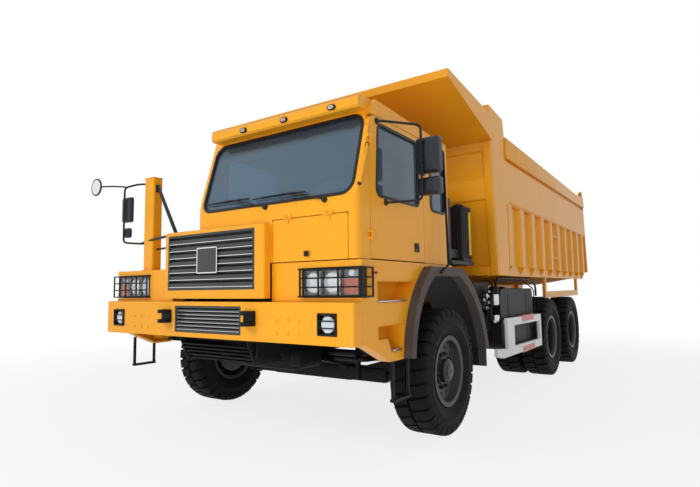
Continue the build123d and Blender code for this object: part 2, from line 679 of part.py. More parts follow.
export_step(fenders.part, "parts/fenders.step")

# Lamps: headlamps that wrap the corners, fog lamps, roof markers, side markers and tail lamps
lamp_cells = ((lamp_inner_x + 12, lamp_inner_x + 194), (lamp_inner_x + 206, lamp_inner_x + 394),
              (lamp_inner_x + 406, side_x - 24))
lamp_cell_depth = 20
signal_top_z = lamp_bottom_z + 160
reflector_radius = 82
fog_ring_radius = 70
lamp_ring = 9
with BuildPart() as lamps:
    for side in (1, -1):
        block(*sorted((side * (lamp_inner_x + seat_gap), side * (side_x - 8))), pod_front_y - 3,
              pod_front_y + lamp_wrap - seat_gap, lamp_bottom_z + seat_gap, lamp_top_z - seat_gap)
        block(side * fog_x - fog_width / 2 + seat_gap, side * fog_x + fog_width / 2 - seat_gap, bumper_y + 3,
              bumper_y + 70, fog_z - fog_height / 2 + seat_gap, fog_z + fog_height / 2 - seat_gap)
        for cell, (low_x, high_x) in enumerate(lamp_cells):
            block(*sorted((side * low_x, side * high_x)), pod_front_y - 4, pod_front_y + lamp_cell_depth,
                  lamp_bottom_z + 12, lamp_top_z - 12, mode=Mode.SUBTRACT)
            if cell < 2:
                with BuildSketch(cross_section(pod_front_y - 1)):
                    with Locations((side * (low_x + high_x) / 2, (lamp_bottom_z + lamp_top_z) / 2)):
                        Circle(reflector_radius)
                        Circle(reflector_radius - lamp_ring, mode=Mode.SUBTRACT)
                extrude(amount=-lamp_cell_depth - 2)
            else:
                block(*sorted((side * (low_x - 1), side * (high_x + 1))), pod_front_y - 1,
                      pod_front_y + lamp_cell_depth + 1, signal_top_z, signal_top_z + lamp_ring)
        with BuildSketch(cross_section(bumper_y + 3)):
            with Locations((side * fog_x, fog_z)):
                Rectangle(fog_width - 20, fog_height - 20)
                Circle(fog_ring_radius + lamp_ring, mode=Mode.SUBTRACT)
                Circle(fog_ring_radius)
        extrude(amount=-lamp_cell_depth, mode=Mode.SUBTRACT)
        block(*sorted((side * 300, side * 480)), rail_rear_y + seat_gap, rail_rear_y + 45, 960, 1060)
        block(*sorted((side * side_x, side * (side_x + 12))), bumper_y + 270, bumper_y + 360, 1575, 1605)
    for marker_x in (280, 800, 1340):
        block(marker_x - 35, marker_x + 35, visor_front_y - 16, visor_front_y, 2990, 3020)
lamps.part.label = "lamps"
export_step(lamps.part, "parts/lamps.step")

# Guards of bent bar in front of the headlamps, carried by feet on the side housings
bar = 12
guard_y = pod_front_y - 40
guard_rows = (lamp_bottom_z + 10, lamp_bottom_z + 87, lamp_top_z - 87, lamp_top_z - 10)
guard_columns = (lamp_inner_x + 6, lamp_inner_x + 200, lamp_inner_x + 400, side_x + 20)
with BuildPart() as lamp_guards:
    for side in (1, -1):
        with BuildSketch(cross_section(guard_y)):
            for z in guard_rows:
                with Locations((side * (guard_columns[0] + guard_columns[-1]) / 2, z)):
                    Rectangle(guard_columns[-1] - guard_columns[0] + bar, bar)
            for x in guard_columns:
                with Locations((side * x, (guard_rows[0] + guard_rows[-1]) / 2)):
                    Rectangle(bar, guard_rows[-1] - guard_rows[0] + bar)
        extrude(amount=-bar)
        with BuildSketch(side_section(side * guard_columns[-1] - bar / 2)):
            for z in guard_rows:
                with Locations((guard_y + bar / 2 + 85, z)):
                    Rectangle(170 + bar, bar)
            with Locations((guard_y + bar / 2 + 170, (guard_rows[0] + guard_rows[-1]) / 2)):
                Rectangle(bar, guard_rows[-1] - guard_rows[0] + bar)
        extrude(amount=bar)
        for z in (guard_rows[0], guard_rows[-1]):
            foot_x = side * (lamp_inner_x - 8)
            block(*sorted((foot_x - side * 6, foot_x + side * 14)), guard_y, guard_y + bar, z - 6, z + 6)
            block(foot_x - 6, foot_x + 6, guard_y, pod_front_y - seat_gap, z - 6, z + 6)
            block(*sorted((side * (side_x + seat_gap), side * guard_columns[-1])), guard_y + 170,
                  guard_y + 170 + bar, z - 6, z + 6)
lamp_guards.part.label = "lamp_guards"
export_step(lamp_guards.part, "parts/lamp_guards.step")

# Cab supports: cross beams from the frame rails up to the cab floor and the deck
with BuildPart() as cab_supports:
    for front, rear in ((240, 330), (1800, 1880)):
        low_x = -1180 if rear > 1000 else -1450
        high_x = 1180 if rear > 1000 else 1450
        low_top = deck_top_z - deck_sheet - seat_gap
        block(cab_right_x - 8, high_x, bumper_y + front, bumper_y + rear, 1610, cab_floor_z - seat_gap)
        block(low_x, cab_right_x, bumper_y + front, bumper_y + rear, 1610, low_top)
        for side in (1, -1):
            block(*sorted((side * (rail_outer_x - rail_flange), side * rail_outer_x)), bumper_y + front,
                  bumper_y + rear, rail_top_z + seat_gap, 1611)
cab_supports.part.label = "cab_supports"
export_step(cab_supports.part, "parts/cab_supports.step")


def rear_edge_y(z):
    """Y of the leaning rear edge of the bed's sides, inside the tailgate."""
    return tail_y - gate_sheet - gate_gap - gate_lean * (z - gate_bottom_z) / (gate_top_z - gate_bottom_z)


def front_edge_y(z):
    """Y of the bed's front face, which leans forward with height."""
    lean = (bed_front_low_y - bed_front_top_y) / (bed_front_top_z - bed_bottom_z)
    return bed_front_low_y - lean * (z - bed_bottom_z)


# Bed sides: a plate with pressed ribs below, a box band above, a top rail and the front post
post_rear_y = bumper_y + 3450
rail_sag_y = bed_hinge_y
rail_sag_z = 3397
rail_rear_z = 3452
tail_floor_y = tail_y - 370
tail_kick_z = 1750
rung_zs = (1950, 2330)
rung_bay = 4
rung_radius = 14
rung_x = rib_out_x - rung_radius
for name, side in sides:
    with BuildPart() as bed_side:
        side_plate([(front_edge_y(bed_bottom_z), bed_bottom_z), (tail_floor_y, bed_bottom_z),
                    (rear_edge_y(tail_kick_z), tail_kick_z), (rear_edge_y(rib_top_z + 10), rib_top_z + 10),
                    (front_edge_y(rib_top_z + 10), rib_top_z + 10)], side * (bed_inner_half + seat_gap),
                   side * rib_base_x)
        side_plate([(front_edge_y(rib_top_z), rib_top_z), (rear_edge_y(rib_top_z), rib_top_z),
                    (rear_edge_y(band_top_z), band_top_z), (front_edge_y(band_top_z), band_top_z)],
                   side * (bed_inner_half + seat_gap), side * bed_half)
        side_plate([(front_edge_y(band_top_z - 1), band_top_z - 1), (rear_edge_y(band_top_z - 1), band_top_z - 1),
                    (rear_edge_y(rail_rear_z), rail_rear_z), (rail_sag_y, rail_sag_z),
                    (post_rear_y + 40, rail_top_front_z), (front_edge_y(rail_top_front_z), rail_top_front_z)],
                   side * (bed_inner_half + seat_gap), side * (bed_half - 30))
        side_plate([(front_edge_y(bed_bottom_z), bed_bottom_z), (post_rear_y + 60, bed_bottom_z),
                    (post_rear_y + 40, rail_top_front_z), (post_rear_y, bed_front_top_z - 50),
                    (front_edge_y(bed_front_top_z), bed_front_top_z)], side * (bed_inner_half + 20),
                   side * bed_half)
        for rib in range(rib_count):
            rib_y = rib_first_y + rib * rib_pitch
            with BuildSketch(Plane.XY.offset(rib_low_z)):
                with BuildLine():
                    Polyline((side * (rib_base_x - 1), rib_y - 120), (side * rib_out_x, rib_y - 80),
                             (side * rib_out_x, rib_y + 80), (side * (rib_base_x - 1), rib_y + 120), close=True)
                make_face()
            extrude(amount=rib_top_z - rib_low_z)
            cross_plate([(side * (rib_base_x - 1), bed_bottom_z + 10), (side * rib_out_x, rib_low_z),
                         (side * rib_out_x, rib_low_z + 10), (side * (rib_base_x - 1), rib_low_z + 10)],
                        rib_y - 12, rib_y + 12)
        if side > 0:
            for rung_z in rung_zs:
                rung_front_y = rib_first_y + rung_bay * rib_pitch + 60
                tube((rung_x, rung_front_y, rung_z), (rung_x, rung_front_y + rib_pitch - 120, rung_z), rung_radius)
        lug_rear_y = rear_edge_y(gate_top_z) - 1
        side_plate([(gate_pin_y - 110, rail_sag_z - 20), (lug_rear_y, rail_sag_z - 20), (lug_rear_y, rail_rear_z),
                    (gate_pin_y + 36, gate_pin_z - 14), (gate_pin_y + 20, gate_pin_z + 36),
                    (gate_pin_y - 20, gate_pin_z + 38)], side * (bed_half - 75), side * (bed_half - 50))
        with Locations(Location((side * (bed_half - 34), gate_pin_y, gate_pin_z), (0, 90, 0))):
            Cylinder(gate_pin_radius, 66)
    bed_side.part.label = f"bed_side_{name}"
    export_step(bed_side.part, f"parts/bed_side_{name}.step")

# Bed front: the leaning wall with its stiffening band, and the canopy that reaches over the cab
band_zs = (2740, 3180)
canopy_top_root_z = canopy_lip_z - canopy_fall
canopy_root_z = canopy_top_root_z - canopy_root_depth
band_out = 22
sill_top_z = 1730
sill_out = 80
sill_inner_x = 150
inner = bed_inner_half
head_ear = (92, 128)
with BuildPart() as bed_front:
    side_plate([(front_edge_y(bed_bottom_z), bed_bottom_z), (front_edge_y(bed_bottom_z) + bed_wall, bed_bottom_z),
                (front_edge_y(canopy_top_root_z) + bed_wall, canopy_top_root_z),
                (front_edge_y(canopy_top_root_z), canopy_top_root_z)], -inner, inner)
    side_plate([(front_edge_y(band_zs[0]) - band_out, band_zs[0] + 25), (front_edge_y(band_zs[0]) + 1, band_zs[0]),
                (front_edge_y(band_zs[1]) + 1, band_zs[1]), (front_edge_y(band_zs[1]) - band_out, band_zs[1] - 25)],
               -inner, inner)
    side_plate([(canopy_lip_y, canopy_lip_z - canopy_lip_depth), (canopy_lip_y, canopy_lip_z),
                (front_edge_y(canopy_top_root_z) + 1, canopy_top_root_z),
                (front_edge_y(canopy_root_z) + 1, canopy_root_z)], -inner, inner)
    for side in (1, -1):
        side_plate([(canopy_lip_y, canopy_lip_z - canopy_lip_depth), (canopy_lip_y, canopy_lip_z),
                    (front_edge_y(canopy_top_root_z) - seat_gap, canopy_top_root_z),
                    (front_edge_y(canopy_root_z) - seat_gap, canopy_root_z)], side * (inner - 1),
                   side * canopy_half)
        side_plate([(front_edge_y(sill_top_z) - sill_out, bed_bottom_z), (front_edge_y(sill_top_z) + 5, bed_bottom_z),
                    (front_edge_y(sill_top_z) + 5, sill_top_z), (front_edge_y(sill_top_z) - sill_out, sill_top_z - 20)],
                   side * sill_inner_x, side * inner)
    side_plate([(canopy_lip_y + 400, canopy_lip_z + 1), (front_edge_y(canopy_top_root_z) - 40, canopy_lip_z + 1),
                (front_edge_y(canopy_top_root_z) - 40, canopy_root_z + 110), (canopy_lip_y + 400, canopy_lip_z - 100)],
               -inner + 60, inner - 60, mode=Mode.SUBTRACT)
    head_y = bed_hinge_y - math.sqrt((bed_hinge_y - hoist_base_y) ** 2 + (bed_hinge_z - hoist_base_z) ** 2
                                     - (hoist_head_z - bed_hinge_z) ** 2)
    slot_half = hoist_pin_radius + 2
    for side in (1, -1):
        with BuildSketch(side_section(min(side * head_ear[0], side * head_ear[1]))):
            with BuildLine():
                Polyline((front_edge_y(hoist_head_z + 160) + 1, hoist_head_z + 160), (head_y - 30, hoist_head_z + 75),
                         (head_y - 75, hoist_head_z + 30), (head_y - 80, hoist_head_z - 60),
                         (head_y + 90, hoist_head_z - 80), (front_edge_y(hoist_head_z - 330) + 1, hoist_head_z - 330),
                         close=True)
            make_face()
            with Locations((head_y, hoist_head_z)):
                Circle(slot_half, mode=Mode.SUBTRACT)
            with BuildLine():
                Polyline((head_y - slot_half, hoist_head_z), (head_y + slot_half, hoist_head_z),
                         (head_y + slot_half + 45, hoist_head_z - 100), (head_y - slot_half - 20, hoist_head_z - 100),
                         close=True)
            make_face(mode=Mode.SUBTRACT)
        extrude(amount=head_ear[1] - head_ear[0])
bed_front.part.label = "bed_front"
export_step(bed_front.part, "parts/bed_front.step")

# Bed floor: one thick plate with a kick at the tail
floor_low_z = bed_floor_z - bed_floor_sheet
with BuildPart() as bed_floor:
    side_plate([(front_edge_y(floor_low_z) + bed_wall + seat_gap, floor_low_z), (tail_floor_y, floor_low_z),
                (rear_edge_y(tail_kick_z), tail_kick_z), (rear_edge_y(tail_kick_z + 50), tail_kick_z + 50),
                (tail_floor_y, bed_floor_z), (front_edge_y(bed_floor_z) + bed_wall + seat_gap, bed_floor_z)],
               -bed_inner_half, bed_inner_half)
bed_floor.part.label = "bed_floor"
export_step(bed_floor.part, "parts/bed_floor.step")

# Beams under the floor: two long ones with the hinge lugs and pins, cross beams on both sides and between
# them, and the low beam over the rear wheels with its posts
beam = (380, 500)
beam_bottom_z = rail_top_z + bed_gap
beam_top_z = floor_low_z - seat_gap
lug_out = (500.5, 560)
cross_pitch = 680
cross_first_y = bumper_y + 3700
cross_count = 8
cross_half = 35
low_beam = (bed_inner_half - 50, bed_inner_half - 2)
low_beam_z = 1256
low_beam_ends = (bumper_y + 5850, bumper_y + 8700)
with BuildPart() as bed_beams:
    for side in (1, -1):
        side_plate([(bumper_y + 3250, beam_top_z), (bumper_y + 3450, beam_bottom_z),
                    (bed_hinge_y - 200, beam_bottom_z), (bed_hinge_y - 150, beam_top_z)],
                   side * beam[0], side * beam[1])
        for low_x, high_x in ((beam[0], hinge_ear[0] - 0.5), lug_out):
            side_plate([(bed_hinge_y - 260, beam_top_z), (bed_hinge_y - 260, beam_bottom_z + 60),
                        (bed_hinge_y - 58, bed_hinge_z - 56), (bed_hinge_y + 58, bed_hinge_z - 56),
                        (bed_hinge_y + 180, beam_top_z)], side * low_x, side * high_x)
        block(*sorted((side * beam[1], side * lug_out[1])), bed_hinge_y - 260, bed_hinge_y - 200,
              beam_bottom_z + 160, beam_top_z)
        with Locations(Location((side * (beam[0] + lug_out[1]) / 2, bed_hinge_y, bed_hinge_z), (0, 90, 0))):
            Cylinder(bed_pin_radius, lug_out[1] - beam[0])
        for post_y in (low_beam_ends[0], low_beam_ends[1] - 100):
            block(*sorted((side * low_beam[0], side * low_beam[1])), post_y, post_y + 100, low_beam_z, beam_top_z)
        block(*sorted((side * low_beam[0], side * low_beam[1])), *low_beam_ends, low_beam_z, low_beam_z + 110)
    for cross in range(cross_count):
        cross_y = cross_first_y + cross * cross_pitch
        clear_of_lugs = lug_out[1] + seat_gap if cross_y > bed_hinge_y - 300 else beam[1] + seat_gap
        for side in (1, -1):
            cross_plate([(side * clear_of_lugs, beam_top_z), (side * clear_of_lugs, bed_bottom_z - 110),
                         (side * 900, bed_bottom_z - 110), (side * (low_beam[0] - seat_gap), bed_bottom_z + 12),
                         (side * (low_beam[0] - seat_gap), beam_top_z)], cross_y - cross_half, cross_y + cross_half)
        block(-beam[0] + seat_gap, beam[0] - seat_gap, cross_y - cross_half, cross_y + cross_half,
              bed_bottom_z - 110, beam_top_z)
bed_beams.part.label = "bed_beams"
export_step(bed_beams.part, "parts/bed_beams.step")

# Tailgate: hangs from pins above the rear corners and closes by its own weight. Pockets leave its ribs proud
gate_bays = 6
gate_rib = 90
gate_pockets = ((gate_bottom_z + 110, 2540), (2650, gate_top_z - 110))
pocket_depth = 34


def gate_back_y(z):
    """Y of the gate's outer face, which leans as the sides' rear edge does."""
    return tail_y - gate_lean * (z - gate_bottom_z) / (gate_top_z - gate_bottom_z)


with BuildPart() as tailgate:
    gate_low_y = tail_y - gate_sheet
    gate_high_y = gate_low_y - gate_lean
    side_plate([(gate_low_y, gate_bottom_z), (tail_y, gate_bottom_z), (gate_high_y + gate_sheet, gate_top_z),
                (gate_high_y, gate_top_z)], -bed_half, bed_half)
    pocket_width = (2 * bed_half - 60 - gate_bays * gate_rib) / gate_bays
    for low_z, high_z in gate_pockets:
        for bay in range(gate_bays):
            low_x = -bed_half + 30 + gate_rib / 2 + bay * (pocket_width + gate_rib)
            side_plate([(gate_back_y(low_z) + 1, low_z), (gate_back_y(low_z) - pocket_depth, low_z + pocket_depth),
                        (gate_back_y(high_z) - pocket_depth, high_z - pocket_depth),
                        (gate_back_y(high_z) + 1, high_z)], low_x, low_x + pocket_width, mode=Mode.SUBTRACT)
    for side in (1, -1):
        with BuildSketch(side_section(min(side * bed_half, side * (bed_half - 45)))):
            with BuildLine():
                Polyline((gate_pin_y - 55, gate_pin_z), (gate_pin_y, gate_pin_z + 55),
                         (gate_high_y + gate_sheet, gate_pin_z - 20), (gate_high_y + gate_sheet, gate_top_z - 60),
                         (gate_high_y + gate_sheet / 2, gate_top_z - 60),
                         (gate_high_y + gate_sheet / 2 - 10, gate_top_z + 10), (gate_pin_y - 20, gate_pin_z - 50),
                         close=True)
            make_face()
            with Locations((gate_pin_y, gate_pin_z)):
                Circle(gate_pin_radius + pin_gap, mode=Mode.SUBTRACT)
        extrude(amount=45)
tailgate.part.label = "tailgate"
export_step(tailgate.part, "parts/tailgate.step")

# Hoist: a foot barrel and three stages, nested along the line from its foot pin to its head pin
hoist_vector = Vector(0, head_y - hoist_base_y, hoist_head_z - hoist_base_z)
hoist_length = hoist_vector.length
hoist_line = hoist_vector.normalized()
hoist_foot = Vector(0, hoist_base_y, hoist_base_z)
barrel_top = hoist_length - 190
barrel_low = 70
for index, (name, radius, stand) in enumerate(hoist_tubes):
    with BuildPart() as hoist_piece:
        low = barrel_low + 24 * index
        high = barrel_top + stand * index
        bore = hoist_tubes[index + 1][1] + hoist_fit if index < 3 else 0
        foot_plane = Plane(hoist_foot + hoist_line * low, x_dir=(1, 0, 0), z_dir=hoist_line)
        with BuildSketch(foot_plane):
            Circle(radius)
        extrude(amount=high - low)
        if bore:
            with BuildSketch(foot_plane.offset(23)):
                Circle(bore)
            extrude(amount=high - low, mode=Mode.SUBTRACT)
        if index == 0:
            tube((-foot_ear[0] + 1, hoist_base_y, hoist_base_z), (foot_ear[0] - 1, hoist_base_y, hoist_base_z), 58)
            tube((-foot_ear[1], hoist_base_y, hoist_base_z), (foot_ear[1], hoist_base_y, hoist_base_z),
                 foot_pin_radius)
            block(-60, 60, hoist_base_y - 40, hoist_base_y + 50, hoist_base_z, hoist_base_z + 76)
        if index == 3:
            tube(hoist_foot + hoist_line * (high - 1), hoist_foot + hoist_vector, 40)
            tube((-126, head_y, hoist_head_z), (126, head_y, hoist_head_z), hoist_pin_radius)
            tube((-88, head_y, hoist_head_z), (88, head_y, hoist_head_z), 50)
    hoist_piece.part.label = name
    export_step(hoist_piece.part, f"parts/{name}.step")

# Front axle beam, with upright bores for the kingpins
with BuildPart() as front_axle:
    cross_plate([(-1180, 585), (-1180, 665), (-900, 660), (-560, 560), (560, 560), (900, 660), (1180, 665),
                 (1180, 585), (900, 560), (560, 440), (-560, 440), (-900, 560)], front_axle_y - 60, front_axle_y + 60)
    for side in (1, -1):
        with Locations((side * kingpin_x, front_axle_y, wheel_radius)):
            Cylinder(75, 110)
        with Locations((side * kingpin_x, front_axle_y, wheel_radius)):
            Cylinder(kingpin_radius + pin_gap, 110, mode=Mode.SUBTRACT)
        block(*sorted((side * 420, side * 520)), front_axle_y - 90, front_axle_y + 90, 558, 600)
front_axle.part.label = "front_axle"
export_step(front_axle.part, "parts/front_axle.step")

# Knuckles: yoke round the axle's end, kingpin, spindle and steering arm
spindle_radius = hub_bore_radius - pin_gap
front_centre_x = front_track / 2
spindle_end_x = front_centre_x + 60
arm_tip_x = kingpin_x
arm_tip_y = front_axle_y + steer_arm
for name, side in sides:
    with BuildPart() as knuckle:
        for z0, z1 in ((wheel_radius + 55 + seat_gap, wheel_radius + 115), (wheel_radius - 115,
                       wheel_radius - 55 - seat_gap)):
            with BuildSketch(Plane.XY.offset(z0)):
                with Locations((side * kingpin_x, front_axle_y)):
                    Circle(70)
                with Locations((side * (kingpin_x + 45), front_axle_y)):
                    Rectangle(90, 140)
            extrude(amount=z1 - z0)
        block(*sorted((side * (kingpin_x + 80), side * (kingpin_x + 110))), front_axle_y - 90, front_axle_y + 90,
              wheel_radius - 115, wheel_radius + 115)
        with Locations((side * kingpin_x, front_axle_y, wheel_radius)):
            Cylinder(kingpin_radius, 230)
        tube((side * (kingpin_x + 100), front_axle_y, wheel_radius), (side * spindle_end_x, front_axle_y,
             wheel_radius), spindle_radius)
        arm_z = wheel_radius - 115
        with BuildSketch(Plane.XY.offset(arm_z)):
            with BuildLine():
                Polyline((side * (kingpin_x - 40), front_axle_y + 40), (side * (kingpin_x + 40), front_axle_y + 40),
                         (side * (arm_tip_x + 34), arm_tip_y), (side * (arm_tip_x - 34), arm_tip_y), close=True)
            make_face()
            with Locations((side * arm_tip_x, arm_tip_y)):
                Circle(40)
                Circle(14 + pin_gap, mode=Mode.SUBTRACT)
        extrude(amount=40)
    knuckle.part.label = f"knuckle_{name}"
    export_step(knuckle.part, f"parts/knuckle_{name}.step")

# Tie rod between the steering arms, with a pin up into each
with BuildPart() as tie_rod:
    rod_z = wheel_radius - 115 - tie_rod_radius - 2
    tube((-arm_tip_x, arm_tip_y, rod_z), (arm_tip_x, arm_tip_y, rod_z), tie_rod_radius)
    for side in (1, -1):
        with Locations((side * arm_tip_x, arm_tip_y, rod_z)):
            Cylinder(30, 2 * tie_rod_radius + 3)
        with Locations((side * arm_tip_x, arm_tip_y, rod_z + 45)):
            Cylinder(14, 60)
tie_rod.part.label = "tie_rod"
export_step(tie_rod.part, "parts/tie_rod.step")


def ring_points(x, radius, count, turn=0):
    """Corners of a regular polygon square to the X axis, one of them straight down before it is turned."""
    angles = [math.radians(turn - 90 + 360 * corner / count) for corner in range(count)]
    return [Vector(x, radius * math.cos(angle), radius * math.sin(angle)) for angle in angles]


def frustum(x0, radius0, x1, radius1, count, turn=0):
    """Solid of flat faces between two like polygons square to the X axis."""
    low = ring_points(x0, radius0, count, turn)
    high = ring_points(x1, radius1, count, turn)
    faces = [Face(Wire.make_polygon(ring)) for ring in (low, high)]
    for corner in range(count):
        after = (corner + 1) % count
        faces.append(Face(Wire.make_polygon([low[corner], low[after], high[after], high[corner]])))
    return Solid(Shell(faces))


def lug_face(x, turn):
    """Tread section through the lugs: flat tops with a V-shaped groove between each two. Turned by half a
    pitch, it has two lug tips at wheel_radius below the centre."""
    pitch = 360 / lug_count
    tip_radius = wheel_radius / math.cos(math.radians(pitch * (1 - lug_share) / 2))
    corners = []
    for lug in range(lug_count):
        middle = turn - 90 + lug * pitch
        for angle, radius in ((middle - pitch * lug_share / 2, tip_radius), (middle + pitch * lug_share / 2,
                              tip_radius), (middle + pitch / 2, wheel_radius - lug_depth)):
            corners.append((radius * math.cos(math.radians(angle)), radius * math.sin(math.radians(angle))))
    with BuildSketch(side_section(x)) as tread:
        with BuildLine():
            Polyline(*corners, close=True)
        make_face()
    return tread.sketch


def tyre_solid(lugged):
    """Tyre about the X axis through the origin, of flat faces. The lugs of its two halves are staggered."""
    count = lug_count if lugged else plain_tyre_sides
    half = tyre_width / 2
    corner_share = math.cos(math.pi / bore_sides)
    bore_radius = (rim_seat_radius + seat_gap) / corner_share
    with BuildPart(mode=Mode.PRIVATE) as tyre:
        for end in (-1, 1):
            turn = 180 / lug_count if lugged and end < 0 else 0
            shoulder_radius = wheel_radius - lug_depth if lugged else wheel_radius
            if lugged:
                extrude(lug_face(min(0, end * shoulder_x), turn), amount=shoulder_x, dir=(1, 0, 0))
            else:
                add(frustum(0, wheel_radius, end * shoulder_x, wheel_radius, count))
            add(frustum(end * shoulder_x, shoulder_radius, end * half, side_radius, count, turn))
        for end in (-1, 1):
            add(frustum(end * (half + 1), side_inner_radius, end * bead_x, rim_radius / corner_share, bore_sides),
                mode=Mode.SUBTRACT)
        add(frustum(-bead_x - 1, bore_radius, bead_x + 1, bore_radius, bore_sides), mode=Mode.SUBTRACT)
    return tyre.part


def rim_profile(centre, outward, disc_offset, bore):
    """Half section of a wheel rim with its disc, as offsets along X and radii."""
    edge = rim_width / 2
    return [(centre + outward * x, r) for x, r in (
        (-edge - 8, rim_radius), (-edge + 8, rim_radius), (-edge + 10, rim_seat_radius), (edge - 10, rim_seat_radius),
        (edge - 8, rim_radius), (edge + 8, rim_radius), (edge + 4, 305), (edge - 40, 292), (disc_offset + 30, 285),
        (disc_offset + 16, 200), (disc_offset + 16, bore), (disc_offset, bore), (disc_offset, 200),
        (disc_offset, 285), (-edge + 30, 292), (-edge + 2, 305))]


# Wheels: tyre and rim of each front wheel
front_disc = 70
for name, side in sides:
    with BuildPart() as tyre:
        add(tyre_solid(True).moved(Location((side * front_centre_x, front_axle_y, wheel_radius))))
    tyre.part.label = f"tyre_front_{name}"
    export_step(tyre.part, f"parts/tyre_front_{name}.step")
    with BuildPart() as rim:
        lathe(rim_profile(0, side, front_disc, hub_bore_radius), side * front_centre_x, front_axle_y, wheel_radius)
        lathe([(side * x, r) for x, r in ((-150, hub_bore_radius), (-150, drum_radius), (-20, drum_radius),
                                          (-20, hub_radius), (150, hub_radius), (170, 90), (170, 0), (64, 0),
                                          (64, hub_bore_radius))], side * front_centre_x, front_axle_y, wheel_radius)
    rim.part.label = f"rim_front_{name}"
    export_step(rim.part, f"parts/rim_front_{name}.step")

# Twin wheels: two tyres and two rims bolted back to back on one hub
outer_x = rear_track_outer / 2
inner_x = outer_x - dual_spacing
axle_end_x = outer_x - 20
axle_tube_radius = 105
for axle_name, axle_y in (("second", second_axle_y), ("third", third_axle_y)):
    for name, side in sides:
        with BuildPart() as tyres:
            for centre, lugged in ((outer_x, True), (inner_x, False)):
                add(tyre_solid(lugged).moved(Location((side * centre, axle_y, wheel_radius))))
        tyres.part.label = f"tyres_{axle_name}_{name}"
        export_step(tyres.part, f"parts/tyres_{axle_name}_{name}.step")
        with BuildPart() as rims:
            lathe(rim_profile(0, side, -160, hub_radius + 30), side * outer_x, axle_y, wheel_radius)
            lathe(rim_profile(0, side, 160, hub_radius + 30), side * inner_x, axle_y, wheel_radius)
            middle = (outer_x + inner_x) / 2
            lathe([(side * x, r) for x, r in ((-120, axle_tube_radius - 20 + pin_gap), (-120, hub_radius + 10),
                   (-80, hub_radius + 31), (-30, 210), (30, 210), (60, hub_radius + 31), (180, hub_radius + 31),
                   (200, hub_radius), (290, hub_radius - 30), (290, 0), (215, 0), (215, axle_tube_radius - 20
                   + pin_gap))], side * middle, axle_y, wheel_radius)
        rims.part.label = f"rims_{axle_name}_{name}"
        export_step(rims.part, f"parts/rims_{axle_name}_{name}.step")

# Rear axles: housings with their final drives
middle = (outer_x + inner_x) / 2
with BuildPart() as rear_axles:
    for axle_y in (second_axle_y, third_axle_y):
        tube((-middle - 210, axle_y, wheel_radius), (middle + 210, axle_y, wheel_radius), axle_tube_radius - 20)
        tube((-middle + 125, axle_y, wheel_radius), (middle - 125, axle_y, wheel_radius), axle_tube_radius)
        with Locations(Location((0, axle_y, wheel_radius), (0, 90, 0))):
            Cylinder(215, 260)
        tube((0, axle_y - 420, 700), (0, axle_y, 700), 110)
        for side in (1, -1):
            block(*sorted((side * 560, side * 690)), axle_y - 70, axle_y + 70, wheel_radius + 60, 760)
rear_axles.part.label = "rear_axles"
export_step(rear_axles.part, "parts/rear_axles.step")

# Springs: front leaf packs on the axle beam, rear packs across both axles with their centre saddle
bogie_y = (second_axle_y + third_axle_y) / 2
with BuildPart() as leaf_springs:
    for side in (1, -1):
        with BuildSketch(side_section(min(side * 425, side * 515))):
            with BuildLine():
                ThreePointArc((front_axle_y - 800, 800), (front_axle_y, 670), (front_axle_y + 800, 800))
                Line((front_axle_y + 800, 800), (front_axle_y + 800, 780))
                Polyline((front_axle_y + 800, 780), (front_axle_y + 90, 600.3), (front_axle_y - 90, 600.3),
                         (front_axle_y - 800, 780))
                Line((front_axle_y - 800, 780), (front_axle_y - 800, 800))
            make_face()
        extrude(amount=90)
        for end in (-1, 1):
            low_y, high_y = sorted((front_axle_y + end * 800, front_axle_y + end * 720))
            block(*sorted((side * 425, side * 515)), low_y, high_y, 780, rail_bottom_z - seat_gap)
    for side in (1, -1):
        with BuildSketch(side_section(min(side * 570, side * 680))):
            with BuildLine():
                ThreePointArc((second_axle_y - 80, 790), (bogie_y, 1010), (third_axle_y + 80, 790))
                Line((third_axle_y + 80, 790), (third_axle_y + 80, 760.3))
                Line((third_axle_y + 80, 760.3), (third_axle_y - 60, 760.3))
                Polyline((third_axle_y - 60, 760.3), (bogie_y + 120, 870), (bogie_y - 120, 870),
                         (second_axle_y + 60, 760.3), (second_axle_y - 80, 760.3), (second_axle_y - 80, 790))
            make_face()
        extrude(amount=110)
        block(*sorted((side * (rail_outer_x + seat_gap), side * 700)), bogie_y - 110, bogie_y + 110, 740,
              870 - seat_gap)
        block(*sorted((side * (rail_outer_x + seat_gap), side * 568)), bogie_y - 200, bogie_y + 200, 740, 1150)
    tube((-600, bogie_y, 800), (600, bogie_y, 800), 45)
leaf_springs.part.label = "leaf_springs"
export_step(leaf_springs.part, "parts/leaf_springs.step")

# Engine as one block at its place, radiator ahead of it, gearbox and prop shafts behind
with BuildPart() as engine:
    block(-360, 360, bumper_y + 520, bumper_y + 1670, 800, 1600)
    fillet(engine.edges().filter_by(Axis.Y), 60)
    for side in (1, -1):
        block(*sorted((side * 350, side * (rail_outer_x - rail_sheet - seat_gap))), bumper_y + 700, bumper_y + 780,
              rail_bottom_z + 40, rail_bottom_z + 160)
engine.part.label = "engine"
export_step(engine.part, "parts/engine.step")

with BuildPart() as radiator:
    block(-395, 395, bumper_y + 345, bumper_y + 450, 960, 1640)
    for side in (1, -1):
        block(*sorted((side * 394, side * (rail_outer_x - rail_sheet - seat_gap))), bumper_y + 370,
              bumper_y + 430, 980, 1060)
radiator.part.label = "radiator"
export_step(radiator.part, "parts/radiator.step")

